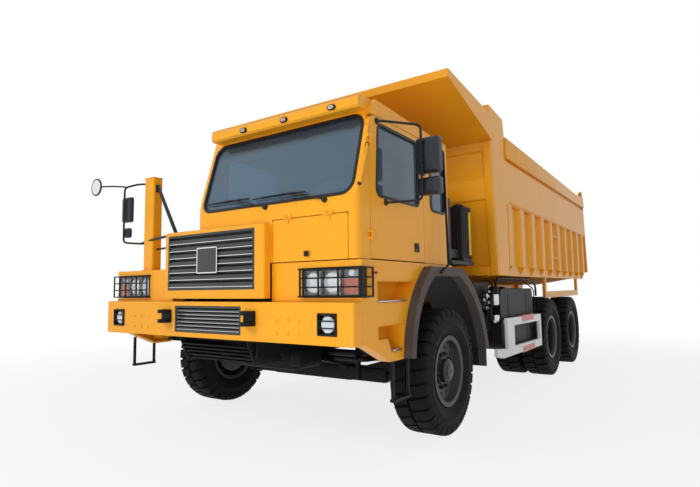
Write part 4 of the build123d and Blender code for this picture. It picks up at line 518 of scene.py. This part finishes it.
lamp_face_s, bowl_s = 0.122, 0.150
lamp_low_z, lamp_high_z, signal_top_z = 1.390, 1.640, 1.545
lamp_cells = ((1.076, 1.258), (1.270, 1.458), (1.470, 1.643))
fog_x, fog_z, fog_face_s = 1.42, 1.183, 0.004
fog_corners = rectangle(1.326, 1.514, 1.094, 1.272)
fog_rim = ((-0.055, 0.060), (-0.020, 0.076), (-0.006, 0.078), (0.0, 0.074), (-0.004, 0.066))
fog_lens = ((0.0, 0.066), (0.003, 0.060), (0.006, 0.040), (0.007, 0.004))
side_marker = rectangle(front_y + 0.272, front_y + 0.358, 1.577, 1.603)
tail_s = 8.795
tail_lenses = ((0.306, 0.362, amber_lens), (0.366, 0.426, red_lens), (0.430, 0.474, clear_lens))
roof_marker_s, roof_marker_z = 0.190, 3.005
# Share of the roof marker's outline and distance out from its face
marker_frame = ((1.0, -0.010), (1.0, 0.004), (0.86, 0.009), (0.74, 0.006))
marker_dome = ((0.74, 0.004), (0.66, 0.010), (0.40, 0.013), (0.05, 0.014))
lamps = Shape(plastic)


def add_bowl(shape, x, s, z, radius, depth):
    """Reflector bowl that opens forwards, with its bulb."""
    centre = at(x, s, z)
    bowl = [(0, radius), (-0.004, radius + 0.004), (-0.006, radius + 0.002)]
    for step in range(7):
        share = 1 - step / 6
        bowl.append((-depth * (1 - share ** 2) - 0.002, max(radius * share * 0.98, 0.012)))
    shape.turned(bowl, centre, forwards, reflector, 36)
    bulb = ((-depth, 0.012), (-depth * 0.35, 0.012), (-depth * 0.25, 0.008))
    shape.turned(bulb, centre, forwards, chrome, 16)


for side in (1, -1):

    def front(u, v, w):
        """Place across, up and out from the lamp corner's face."""
        return at(side * u, lamp_face_s - w, v)

    def fog_place(u, v, w):
        return at(side * u, fog_face_s - w, v)

    housing = rectangle(1.066, 1.657, lamp_low_z + 0.002, lamp_high_z - 0.002)
    lamps.frame_ring(housing, 0.012, 0.0, 0.026, front, -0.012, -0.096)
    lamps.frame_ring(housing, 0.012, -0.001, 0.020, front, 0.0, -0.020, bevel=0.004)
    lamps.plate(inset(housing, 0.02), 0.01, front, -0.092, (0, 0.005, 0), reflector)
    for low_x, high_x in lamp_cells[:2]:
        add_bowl(lamps, side * (low_x + high_x) / 2, bowl_s, 1.515, 0.082, 0.058)
        for rib in range(9):
            z = lamp_low_z + 0.036 + rib * 0.0215
            lamps.block(front(low_x + 0.006, z, -0.074), front(high_x - 0.006, z + 0.003, -0.092), reflector)
    for x in (1.264, 1.464):
        lamps.block(front(x - 0.006, lamp_low_z + 0.02, -0.010), front(x + 0.006, lamp_high_z - 0.02, -0.09),
                    bevel=0.002)
    low_x, high_x = lamp_cells[2]
    lamps.block(front(low_x, signal_top_z, -0.012), front(high_x, signal_top_z + 0.008, -0.09), chrome)
    lamps.block(front(low_x, lamp_low_z + 0.022, -0.022), front(high_x, signal_top_z, -0.034), amber_lens,
                bevel=0.003)
    for rib in range(14):
        x = low_x + 0.008 + rib * 0.0122
        lamps.block(front(x, lamp_low_z + 0.026, -0.020), front(x + 0.005, signal_top_z - 0.004, -0.024),
                    amber_lens)
    add_bowl(lamps, side * (low_x + high_x) / 2, bowl_s, 1.590, 0.026, 0.030)
    lamps.block(front(1.088, lamp_low_z + 0.020, -0.006), front(1.636, lamp_high_z - 0.020, -0.010),
                clear_lens)

    lamps.frame_ring(fog_corners, 0.012, 0.0, 0.016, fog_place, 0.0, -0.062, bevel=0.003)
    lamps.plate(inset(fog_corners, 0.004), 0.01, fog_place, -0.060, (0, 0.006, 0), yellow)
    lamps.turned(fog_rim, at(side * fog_x, 0.010, fog_z), forwards, segments=40)
    add_bowl(lamps, side * fog_x, 0.012, fog_z, 0.064, 0.036)
    lamps.turned(fog_lens, at(side * fog_x, 0.011, fog_z), forwards, clear_lens, 36)

    rings = [[Vector((side * (side_x + w), u, v)) for u, v in rounded_corners(inset(side_marker, d), 0.009)]
             for d, w in ((0.0, 0.0), (0.0, 0.006), (0.003, 0.010), (0.008, 0.012))]
    lamps.loft(rings, amber_lens)
    lamps.block(at(side * 0.300, 8.750, 0.960), at(side * 0.480, tail_s - 0.012, 1.060), bevel=0.006)
    for low_x, high_x, lens in tail_lenses:
        lamps.block(at(side * low_x, tail_s - 0.014, 0.968), at(side * high_x, tail_s, 1.052), lens,
                    bevel=0.004)
for x in (0.280, 0.800, 1.340):
    oval = rounded_corners(rectangle(x - 0.042, x + 0.042, 2.981, 3.029), 0.0235)
    for sections, material in ((marker_frame, plastic), (marker_dome, marker_lens)):
        rings = [[at(x + (p.x - x) * share, roof_marker_s - w, roof_marker_z + (p.y - roof_marker_z) * share)
                  for p in oval] for share, w in sections]
        lamps.loft(rings, material)
piece("lamp_units", lamps, "chassis", ["lamps"])

guards = Shape(plastic)
for side in (1, -1):
    for low_z, high_z in ((1.098, 1.108), (1.150, 1.160), (1.206, 1.216), (1.258, 1.268)):
        guards.block(at(side * 1.330, -0.012, low_z), at(side * 1.510, -0.002, high_z), bevel=0.002)
    for x in (1.330, 1.500):
        guards.block(at(side * x, -0.016, 1.098), at(side * (x + 0.010), 0.002, 1.268), bevel=0.002)
piece("fog_lamp_bars", guards, "chassis")


# Grilles: bright lips along the slats, and a plain plate on the upper one

lips = Shape(chrome)
# Half width, height of the lowest slat, pitch, number of slats, place and depth of their lips
for half, base_z, pitch, count, s, depth in ((0.586, 1.489, 0.0716, 7, 0.016, 0.010),
                                             (0.440, 1.084, 0.0353, 6, 0.001, 0.007)):
    for slat in range(count):
        low_z = base_z + pitch * slat + 0.004
        lips.block(at(-half, s, low_z), at(half, s + depth, low_z + depth * 0.7), bevel=0.0015)
plate_corners = rectangle(-0.159, 0.131, 1.625, 1.875)


def plate_place(u, v, w):
    return at(u, 0.012 - w, v)


lips.plate(plate_corners, 0.012, plate_place, 0.0, (0, 0.012, 0), slat_grey)
lips.frame_ring(plate_corners, 0.012, 0.0, 0.012, plate_place, -0.010, 0.003, bevel=0.002)
piece("grille_lips", lips, "chassis")


# Seals round the windows, and the wipers

def screen(u, v, w):
    """Place across, up and out from the leaning plane of the windscreen."""
    outward = Vector((0, -1, screen_slope)).normalized()
    return at(u, cab_front_s + (v - screen_base_z) * screen_slope, v) + w * outward


def left_side(u, v, w):
    return at(cab_left_x + w, u, v)


def right_side(u, v, w):
    return at(cab_right_x - w, u, v)


def rear_side(u, v, w):
    return at(u, cab_rear_s + w, v)


def add_seal(shape, corners, radius, place):
    shape.frame_ring(corners, radius, 0.016, 0.010, place, -0.030, 0.006, plastic, bevel=0.003)


seals = Shape(plastic)
screen_edge = rectangle(-0.210, 1.590, 2.235, 2.935)
seals.frame_ring(screen_edge, 0.110, 0.016, 0.012, screen, -0.030, 0.007, bevel=0.003)
add_seal(seals, rectangle(1.450, 1.800, 2.240, 2.870), 0.060, left_side)
add_seal(seals, rectangle(0.480, 1.600, 2.320, 2.860), 0.080, right_side)
add_seal(seals, rectangle(0.250, 1.250, 2.330, 2.850), 0.080, rear_side)
piece("window_seals", seals, "chassis")

wipers = Shape(plastic)
blade_depth = screen(0, 2.3, -0.010) - screen(0, 2.3, 0.0)
# Pivot's x and z, then the blade's low x, high x and z
for pivot_x, pivot_z, low_x, high_x, blade_z in ((0.660, 2.200, -0.162, 0.430, 2.306),
                                                 (1.329, 2.196, 0.482, 1.102, 2.292)):
    wipers.turned(((-0.012, 0.024), (0.018, 0.024), (0.026, 0.018), (0.030, 0.008)),
                  screen(pivot_x, pivot_z, 0), (0, -1, screen_slope), segments=24)
    hold_x = low_x * 0.35 + high_x * 0.65
    elbow = screen((pivot_x + hold_x) / 2, (pivot_z + blade_z) / 2, 0.034)
    wipers.bar([screen(pivot_x, pivot_z, 0.022), elbow, screen(hold_x, blade_z, 0.024)], 0.007, bend=0.05)
    wipers.bar([screen(low_x + 0.12, blade_z, 0.018), screen(hold_x, blade_z, 0.028),
                screen(high_x - 0.08, blade_z, 0.018)], 0.006, bend=0.04)
    blade = rectangle(low_x, high_x, blade_z - 0.007, blade_z + 0.007)
    wipers.slab([screen(u, v, 0.016) for u, v in blade], blade_depth, bevel=0.002)
piece("wipers", wipers, "chassis")


# Door: window seal, handle and the cab's grab bar

door_trim = Shape(plastic)
add_seal(door_trim, [(0.400, 2.245), (1.190, 2.245), (1.190, 2.865), (0.440, 2.865)], 0.060, left_side)
handle = rectangle(1.075, 1.165, 1.797, 1.885)
door_trim.frame_ring(handle, 0.012, 0.0, 0.014, left_side, -0.004, 0.008, bevel=0.003)
door_trim.plate(inset(handle, 0.01), 0.008, left_side, 0.001, (0.002, 0, 0))
door_trim.plate(rectangle(1.088, 1.152, 1.835, 1.876), 0.008, left_side, 0.004, (0.012, 0, 0), bevel=0.004)
piece("door_trim", door_trim, "door")

grab = Shape(yellow)
top, low = at(1.655, 0.255, 2.640), at(1.655, 0.135, 2.300)
outward = Vector((0.022, -0.026, 0))
grab.bar([top, top + outward, low + outward, low], 0.010, bend=0.02)
for end in (top, low):
    grab.turned(((-0.01, 0.017), (0.020, 0.015), (0.034, 0.013)), end, outward, plastic, 20)
piece("grab_bar", grab, "chassis")

rail = Shape(plastic)
rail.bar([at(1.615, 0.66, 3.020), at(1.622, 0.69, 3.052), at(1.622, 1.10, 3.052), at(1.615, 1.13, 3.020)],
         0.009, bend=0.02)
piece("roof_rail", rail, "chassis")

latch_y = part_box("front_hatch")[0].y
latch = Shape(plastic)
latch.block((1.118, latch_y - 0.004, 1.735), (1.166, latch_y + 0.004, 1.783), bevel=0.003)
latch.block((1.128, latch_y - 0.010, 1.752), (1.156, latch_y - 0.002, 1.774), bevel=0.003)
piece("hatch_latch", latch, "hatch")


# Bumper bolts and the step wells' treads

bolts = Shape(yellow)
bumper_bolt = ((0, 0.016), (0.002, 0.016), (0.004, 0.011), (0.008, 0.010), (0.010, 0.006))
for side in (-1, 1):
    for x in (0.895, 1.017, 1.135):
        for z in (1.100, 1.205):
            bolts.turned(bumper_bolt, at(side * x, 0.0, z), forwards, segments=20)
piece("bumper_bolts", bolts, "chassis")

treads = Shape(tread_metal)
stud_pitch_x, stud_pitch_s = 0.034, 0.030
for side in (-1, 1):
    for low_s, high_s, z in ((0.372, 0.860, 1.348), (0.590, 0.760, 0.931)):
        treads.block(at(side * 1.500, low_s, z - 0.001), at(side * (side_x - 0.004), high_s, z + 0.004))
        treads.block(at(side * (side_x - 0.030), low_s, z), at(side * (side_x + 0.001), high_s, z + 0.010),
                     bare_metal, bevel=0.003)
        rows = int((high_s - low_s - 0.04) / stud_pitch_s)
        for row in range(rows):
            for column in range(4):
                x = 1.518 + stud_pitch_x * column
                spot = at(side * x, low_s + 0.03 + stud_pitch_s * row, z + 0.003)
                treads.turned(((0, 0.009), (0.004, 0.007), (0.004, 0.004)), spot, upwards, segments=8)
piece("step_treads", treads, "chassis")


# Mirrors at the door, on a bent stay

def upright(u, v, w):
    return at(u, w, v)


def add_mirror(shape, low_x, high_x, low_z, high_z, face_s, deep_s):
    """Housing with a domed front at face_s and its glass at deep_s, towards the rear."""
    corners = rectangle(low_x, high_x, low_z, high_z)
    rings = []
    for inward, share in ((0.000, 1.0), (0.000, 0.45), (0.004, 0.28), (0.014, 0.12), (0.030, 0.03),
                          (0.050, 0.0)):
        reach = min(inward, (high_x - low_x) * 0.4, (high_z - low_z) * 0.4)
        outline = rounded_corners(inset(corners, reach), max(0.026 - reach * 0.3, 0.008))
        rings.append([upright(u, v, face_s + (deep_s - face_s) * share) for u, v in outline])
    shape.loft(rings, mirror_slate)
    shape.plate(inset(corners, 0.012), 0.016, upright, deep_s - 0.001, (0, 0.003, 0), mirror_face)


mirrors = Shape(plastic)
stay = ((1.650, 0.420, 2.885), (1.690, 0.470, 2.890), (1.905, 0.745, 2.888), (1.905, 0.745, 2.220),
        (1.690, 0.580, 2.200), (1.650, 0.550, 2.200))
mirrors.bar([at(*place) for place in stay], 0.011, bend=0.05)
for s, z in ((0.420, 2.885), (0.550, 2.200)):
    mirrors.turned(((0, 0.030), (0.006, 0.030), (0.010, 0.024), (0.022, 0.016)), at(1.650, s, z),
                        (1, 0, 0), segments=24)
add_mirror(mirrors, 1.825, 2.050, 2.470, 2.790, 0.770, 0.868)
add_mirror(mirrors, 1.825, 2.050, 2.275, 2.430, 0.770, 0.868)
for z in (2.450, 2.520, 2.740):
    mirrors.block(at(1.888, 0.735, z - 0.014), at(1.922, 0.780, z + 0.014), bevel=0.004)
piece("door_mirror_set", mirrors, "door", ["door_mirrors"])


# Mirrors on the post, and the post's stays

mirrors = Shape(plastic)
stay = ((-1.310, 0.255, 2.690), (-1.360, 0.160, 2.680), (-1.480, 0.060, 2.640), (-1.480, 0.060, 2.010),
        (-1.360, 0.160, 2.000), (-1.310, 0.240, 2.000))
arm = ((-1.470, 0.060, 2.646), (-1.640, 0.020, 2.668), (-1.850, -0.006, 2.686))
mirrors.bar([at(*place) for place in stay], 0.011, bend=0.045)
mirrors.bar([at(*place) for place in arm], 0.009, bend=0.03)
round_centre = at(-1.945, -0.004, 2.690)
round_housing = ((0.018, 0.040), (0.010, 0.085), (0.000, 0.102), (-0.008, 0.104), (-0.014, 0.102),
                 (-0.014, 0.092))
round_face = ((-0.012, 0.094), (-0.016, 0.080), (-0.019, 0.050), (-0.020, 0.010))
mirrors.turned(round_housing, round_centre, (0, 1, 0), segments=48)
mirrors.turned(round_face, round_centre, (0, 1, 0), mirror_face, 48)
add_mirror(mirrors, -1.570, -1.392, 2.245, 2.530, 0.075, 0.122)
add_mirror(mirrors, -1.545, -1.425, 2.070, 2.180, 0.075, 0.126)
piece("post_mirror_set", mirrors, "chassis", ["mirrors"])

hood_right_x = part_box("hood")[0].x
stays = Shape(plastic)
stays.slab([at(-1.150, 0.235, 2.640), at(-1.150, 0.262, 2.640), at(hood_right_x + 0.015, 0.150, 2.045),
            at(hood_right_x + 0.015, 0.123, 2.045)], (0.030, 0, 0.012), bevel=0.004)
stays.bar([at(-1.400, 0.230, 2.006), at(-1.230, 0.215, 2.030), at(hood_right_x + 0.010, 0.120, 2.050)],
          0.014, bend=0.05)
stays.bar([at(-1.145, 0.262, 1.930), at(hood_right_x + 0.006, 0.180, 1.930)], 0.011)
stays.block(at(-1.320, 0.196, 2.738), at(-1.140, 0.324, 2.746), yellow, bevel=0.003)
stays.block(at(-1.148, 0.228, 2.575), at(-1.130, 0.270, 2.660), bevel=0.004)
stays.block(at(-1.330, 0.190, 1.690), at(-1.130, 0.330, 1.704), yellow, bevel=0.004)
piece("post_stays", stays, "chassis")


# Air cleaner: ribs on its housing, a plain label strip and a cap

cleaner = Shape(filter_grey)
rib_pitch, rib_width, rib_low_z, rib_high_z = 0.037, 0.012, 1.800, 2.390
for rib in range(7):
    s = 2.435 + rib * rib_pitch
    cleaner.block(at(1.596, s, rib_low_z), at(1.606, s + rib_width, rib_high_z), bevel=0.003)
for rib in range(5):
    x = 1.415 + rib * rib_pitch
    cleaner.block(at(x, 2.414, rib_low_z), at(x + rib_width, 2.424, rib_high_z), bevel=0.003)
for z in (1.765, 2.395):
    cleaner.block(at(1.392, 2.412, z), at(1.608, 2.678, z + 0.022), bevel=0.004)
cleaner.block(at(1.604, 2.590, 1.840), at(1.611, 2.655, 2.360), label_yellow, bevel=0.002)
cleaner.turned(((0, 0.070), (0.020, 0.070), (0.030, 0.060), (0.040, 0.030)), at(1.500, 2.545, 2.417),
               upwards, segments=32)
piece("air_cleaner_trim", cleaner, "chassis")


# Tanks: straps and a filler cap, and red bands on the white guards

straps = Shape(chassis_black)
tank_outline = rectangle(0.640, 1.430, 1.0, 1.7)
for side in (-1, 1):
    for s in (3.700, 4.560):
        straps.frame_ring(tank_outline, 0.09, 0.004, 0.0, lambda u, v, w: at(side * v, s + w, u), 0.0, 0.05)
    straps.turned(((0, 0.060), (0.022, 0.060), (0.028, 0.052), (0.030, 0.02)), at(side * 1.45, 4.200, 1.430),
                  upwards, segments=32)
piece("tank_straps", straps, "chassis")

guard_low, guard_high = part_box("side_guards")
band_proud, band_reach = 0.001, 0.081
bands = Shape(red_paint)
for side in (-1, 1):
    for low_z, high_z in ((guard_low.z - band_proud, guard_low.z + band_reach),
                          (guard_high.z - band_reach, guard_high.z + band_proud)):
        bands.block((side * (guard_high.x - 0.044), front_y + 3.98, low_z),
                    (side * (guard_high.x + 0.0005), front_y + 4.60, high_z))
piece("guard_bands", bands, "chassis")


# Service area behind the front wheels: drier canister, valves, pipes and drums

service = Shape(chassis_black)
canister_x, canister_s = 1.668, 3.250
# Height, profile and material of each part of the canister
for z, profile, material in (
        (1.225, ((0, 0.018), (0.004, 0.050), (0.016, 0.056), (0.130, 0.056), (0.142, 0.050), (0.146, 0.030)),
         bare_metal),
        (1.371, ((0, 0.060), (0.080, 0.060), (0.092, 0.046), (0.100, 0.020)), chassis_black),
        (1.000, ((0, 0.012), (0.030, 0.052), (0.090, 0.056), (0.100, 0.050)), bare_metal)):
    service.turned(profile, at(canister_x, canister_s, z), upwards, material, 32)
service.block(at(1.600, canister_s - 0.030, 1.380), at(canister_x, canister_s + 0.030, 1.420), bevel=0.004)
for s, z, radius in ((3.050, 1.345, 0.030), (3.060, 1.265, 0.026), (3.030, 1.200, 0.020),
                     (3.120, 1.400, 0.016), (2.930, 1.300, 0.018)):
    valve = ((0, radius), (0.030, radius), (0.034, radius * 1.15), (0.046, radius * 1.15),
             (0.052, radius * 0.7), (0.070, radius * 0.5))
    service.turned(valve, at(1.600, s, z), (1, 0, 0), bare_metal, 20)
    service.bar([at(1.665, s, z), at(1.690, s, z), at(1.680, s + 0.020, z - 0.160)], 0.007, plastic,
                bend=0.02)
service.bar([at(1.600, s, z) for s, z in ((3.500, 1.400), (3.550, 1.575), (4.100, 1.580), (5.100, 1.575),
                                          (5.550, 1.500), (5.560, 1.300))], 0.016, plastic, bend=0.12)
service.bar([at(1.570, s, z) for s, z in ((3.450, 1.300), (3.470, 1.540), (4.500, 1.545), (5.000, 1.540))],
            0.012, plastic, bend=0.08)
service.bar([at(1.745, 4.870, 0.560), at(1.745, 4.870, 1.420), at(1.600, 4.800, 1.545)], 0.009, bend=0.06)
for s in (3.540, 3.720):
    service.turned(((0, 0.060), (0.010, 0.085), (0.200, 0.085), (0.210, 0.060)), at(1.40, s, 1.020),
                   (1, 0, 0), segments=32)
piece("service_trim", service, "chassis")


# Under the bumper: slats in front of the skid plate, the sump, rods, and a straight underside to the axle

under = Shape(chassis_black)
for step in range(5):
    slat_s, slat_z = 0.185 - 0.024 * step, 0.790 + 0.036 * step
    under.block(at(-0.470, slat_s, slat_z), at(0.470, slat_s + 0.060, slat_z + 0.014), bevel=0.003)
cheek = ((0.170, 0.775), (0.540, 0.775), (0.400, 0.990), (0.070, 0.990))
for side in (-1, 1):
    under.slab([at(side * 0.462, s, z) for s, z in cheek], (side * 0.014, 0, 0), bevel=0.003)
    under.block(at(side * 0.560, 0.700, 0.700), at(side * 0.440, 1.050, 0.860), bevel=0.006)
    under.bar([at(side * 0.780, 1.400, 0.500), at(side * 0.780, 1.400, 0.860)], 0.030)
under.block(at(-0.400, 0.800, 0.640), at(0.400, 1.420, 0.830), bevel=0.02)
under.block(at(-1.020, 1.572, 0.445), at(1.020, 1.722, 0.600), bevel=0.02)
under.bar([at(-0.940, 1.800, 0.700), at(-0.900, 1.330, 0.720), at(0.900, 1.330, 0.720),
           at(0.940, 1.800, 0.700)], 0.028, bend=0.08)
under.bar([at(-0.500, 1.200, 0.800), at(0.860, 1.250, 0.790)], 0.036)
piece("under_parts", under, "chassis")


# Bed: beam across the front wall, front faces of the posts, and the ledge under the top rail

bed_low_z, bed_high_z, bed_foot_s, bed_lean = 1.603, 3.744, 3.100, 0.200


def wall_s(z):
    """How far the bed's leaning front face is behind the bumper at a height."""
    return bed_foot_s - bed_lean * (z - bed_low_z) / (bed_high_z - bed_low_z)


bed_trim = Shape(yellow)
beam = ((0.002, 2.550), (-0.030, 2.566), (-0.030, 2.818), (0.002, 2.834))
post = ((1.700, 0.002), (1.700, -0.045), (1.799, -0.045), (1.799, 0.002))
ledge = ((3.500, 3.185), (9.205, 3.205), (9.160, 3.448), (8.450, 3.394), (3.500, 3.462))
strip = rectangle(3.640, 9.250, 2.575, 2.600)
bed_trim.loft([[at(x, wall_s(z) + out, z) for out, z in beam] for x in (-1.700, 1.700)], bevel=0.004)
for side in (-1, 1):
    bed_trim.loft([[at(side * x, wall_s(z) + out, z) for x, out in post] for z in (1.606, 3.270)],
                  bevel=0.004)
    for outline, x, depth in ((ledge, 1.765, 0.054), (strip, 1.798, 0.014)):
        bed_trim.slab([at(side * x, s, z) for s, z in outline], (side * depth, 0, 0), bevel=0.003)
piece("bed_trim", bed_trim, "bed")


# Inside the cab: a pale top on the dash with its hump, and cushions blown up from their blanks

dash = Shape(dash_grey)
dash_low_x, dash_high_x, dash_steps = -0.222, 1.600, 36
rings = []
for step in range(dash_steps + 1):
    x = dash_low_x + step * (dash_high_x - dash_low_x) / dash_steps
    hump = 0.120 * exp(-((x - 1.28) / 0.24) ** 4) + 0.050 * exp(-((x + 0.06) / 0.14) ** 4)
    line = ((0.152, 2.188), (0.152, 2.196), (0.220, 2.228 + hump * 0.5), (0.310, 2.280 + hump),
            (0.410, 2.312 + hump), (0.480, 2.300 + hump * 0.9), (0.512, 2.230), (0.512, 2.120),
            (0.506, 2.120), (0.500, 2.186))
    rings.append([at(x, s, z) for s, z in line])
dash.loft(rings)
piece("dash_top", dash, "chassis", sharp=50)


def pad_blank(name, centre, size, lean):
    """Rounded blank of a cushion, a little smaller than the finished pad."""
    shape = Shape(seat_cloth)
    half = [s / 2 for s in size]
    shape.block([-h for h in half], half, bevel=min(half) * 0.7, segments=3)
    mesh = bpy.data.meshes.new(name)
    shape.mesh.to_mesh(mesh)
    shape.mesh.free()
    mesh.materials.append(seat_cloth)
    mesh.transform(Matrix.Translation(centre) @ Matrix.Rotation(lean, 4, "X"))
    return add_object(name, mesh)


def blow_up(pad, voxel, pressure, cap, last_step=20):
    """Remeshes the blank and swells it as filled cloth. No point moves further than cap."""
    remesh = pad.modifiers.new("remesh", "REMESH")
    remesh.mode = "VOXEL"
    remesh.voxel_size = voxel
    apply_modifiers(pad)
    start = [v.co.copy() for v in pad.data.vertices]
    cloth = pad.modifiers.new("cloth", "CLOTH")
    cloth.settings.use_pressure = True
    cloth.settings.uniform_pressure_force = pressure
    cloth.settings.effector_weights.gravity = 0
    cloth.point_cache.frame_start = 1
    cloth.point_cache.frame_end = last_step
    for step in range(1, last_step + 1):
        bpy.context.scene.frame_set(step)
    apply_modifiers(pad)
    for vertex, place in zip(pad.data.vertices, start):
        moved = vertex.co - place
        if moved.length > cap:
            vertex.co = place + moved.normalized() * cap
    bpy.context.scene.frame_set(1)


def apply_modifiers(pad):
    """Bakes the modifiers into the mesh."""
    graph = bpy.context.evaluated_depsgraph_get()
    made = bpy.data.meshes.new_from_object(pad.evaluated_get(graph))
    pad.modifiers.clear()
    pad.data = made


driver_x, passenger_x = 1.120, 0.300
# Name, middle, size and lean of each pad of the driver's seat
pad_table = (("seat_cushion", at(driver_x, 1.270, 2.085), (0.46, 0.50, 0.10), 0.05),
             ("seat_back", at(driver_x, 1.520, 2.420), (0.44, 0.09, 0.50), -0.10))
for name, centre, size, lean in pad_table:
    pad = pad_blank(name, centre, size, lean)
    blow_up(pad, voxel=0.009, pressure=4.0, cap=0.024)
    smooth = pad.modifiers.new("smooth", "SUBSURF")
    smooth.levels = smooth.render_levels = 1
    apply_modifiers(pad)
    for face in pad.data.polygons:
        face.use_smooth = True
    twin = add_object(name + "_right", pad.data.copy())
    twin.data.transform(Matrix.Translation((passenger_x - driver_x, 0, 0)))
    for made in (pad, twin):
        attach(made, "chassis")
        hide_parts("seats")


# Camera at the photograph's viewpoint

focal_pixels, image_width = 505.622, 700
camera_place = at(3.819, -3.192, 1.465)
yaw, pitch, roll = radians(34.234), radians(5.070), radians(-0.768)
camera_data = bpy.data.cameras.new("camera")
camera_data.sensor_width = 36.0
camera_data.lens = focal_pixels / image_width * camera_data.sensor_width
camera = add_object("camera", camera_data)
forward = Vector((-sin(yaw) * cos(pitch), cos(yaw) * cos(pitch), sin(pitch)))
level_right = forward.cross(Vector(upwards)).normalized()
level_up = level_right.cross(forward)
right = cos(roll) * level_right + sin(roll) * level_up
up = -sin(roll) * level_right + cos(roll) * level_up
camera_rows = [(right[i], up[i], -forward[i], camera_place[i]) for i in range(3)]
camera.matrix_world = Matrix((*camera_rows, (0, 0, 0, 1)))
bpy.context.scene.camera = camera


# Floor that fades into the white background, lights and background

def seen_directly(tree):
    """1 for rays that show a surface, straight, mirrored or through glass, and 0 for other rays."""
    rays = new_node(tree, "ShaderNodeLightPath").outputs
    seen = math_node(tree, "MAXIMUM", rays["Is Camera Ray"], rays["Is Glossy Ray"])
    return math_node(tree, "MAXIMUM", seen, rays["Is Transmission Ray"])


def mix_surfaces(tree, share, first, second, output):
    """Sends the first surface to the output, turned into the second by the share."""
    mix = new_node(tree, "ShaderNodeMixShader", Fac=share)
    tree.links.new(first.outputs[0], mix.inputs[1])
    tree.links.new(second.outputs[0], mix.inputs[2])
    tree.links.new(mix.outputs[0], tree.nodes[output].inputs["Surface"])


floor_half = 60.0
fade_near, fade_far, near_white = 4.5, 11.0, 0.80
floor_mesh = bpy.data.meshes.new("floor")
floor_corners = rectangle(-floor_half, floor_half, -floor_half, floor_half)
floor_mesh.from_pydata([(x, y, 0) for x, y in floor_corners], [], [(0, 1, 2, 3)])
floor = add_object("floor", floor_mesh)
floor_material, tree, shader = empty_material("floor")
set_inputs(tree, shader, Base_Color=(0.93, 0.93, 0.93, 1), Roughness=0.9)
distance = new_node(tree, "ShaderNodeVectorMath")
distance.operation = "LENGTH"
floor_place = new_node(tree, "ShaderNodeTexCoord").outputs["Object"]
connect(tree, floor_place, distance.inputs[0])
fade = new_node(tree, "ShaderNodeMapRange", Value=distance.outputs["Value"], From_Min=fade_near,
                From_Max=fade_far, To_Min=near_white, To_Max=1.0)
fade.interpolation_type = "SMOOTHSTEP"
white_share = math_node(tree, "MULTIPLY", fade.outputs["Result"], seen_directly(tree))
mix_surfaces(tree, white_share, shader, new_node(tree, "ShaderNodeEmission"), "Material Output")
floor_mesh.materials.append(floor_material)

world = bpy.data.worlds.new("world")
bpy.context.scene.world = world
world.use_nodes = True
tree = world.node_tree
soft_light = tree.nodes["Background"]
set_inputs(tree, soft_light, Color=(0.96, 0.98, 1.0, 1), Strength=0.33)
seen_white = new_node(tree, "ShaderNodeBackground", Color=(1, 1, 1, 1), Strength=1.0)
mix_surfaces(tree, seen_directly(tree), soft_light, seen_white, "World Output")


def area_light(name, place, aim, size, power):
    lamp = bpy.data.lights.new(name, "AREA")
    lamp.shape = "DISK"
    lamp.size = size
    lamp.energy = power
    light = add_object(name, lamp)
    light.location = place
    light.rotation_mode = "QUATERNION"
    light.rotation_quaternion = (Vector(aim) - Vector(place)).to_track_quat("-Z", "Y")
    light.visible_glossy = False
    light.visible_camera = False


area_light("key", (-5, -15, 9), (0, -2, 1.4), 6, 800)
area_light("fill", (13, -5, 6), (0.5, 0, 1.4), 8, 190)
area_light("rear", (2, 13, 9), (0, 2, 1.5), 8, 330)
area_light("bounce", (3, -9, 0.3), (0.3, -2.6, 3.3), 4, 210)

bpy.context.scene.view_settings.view_transform = "Standard"
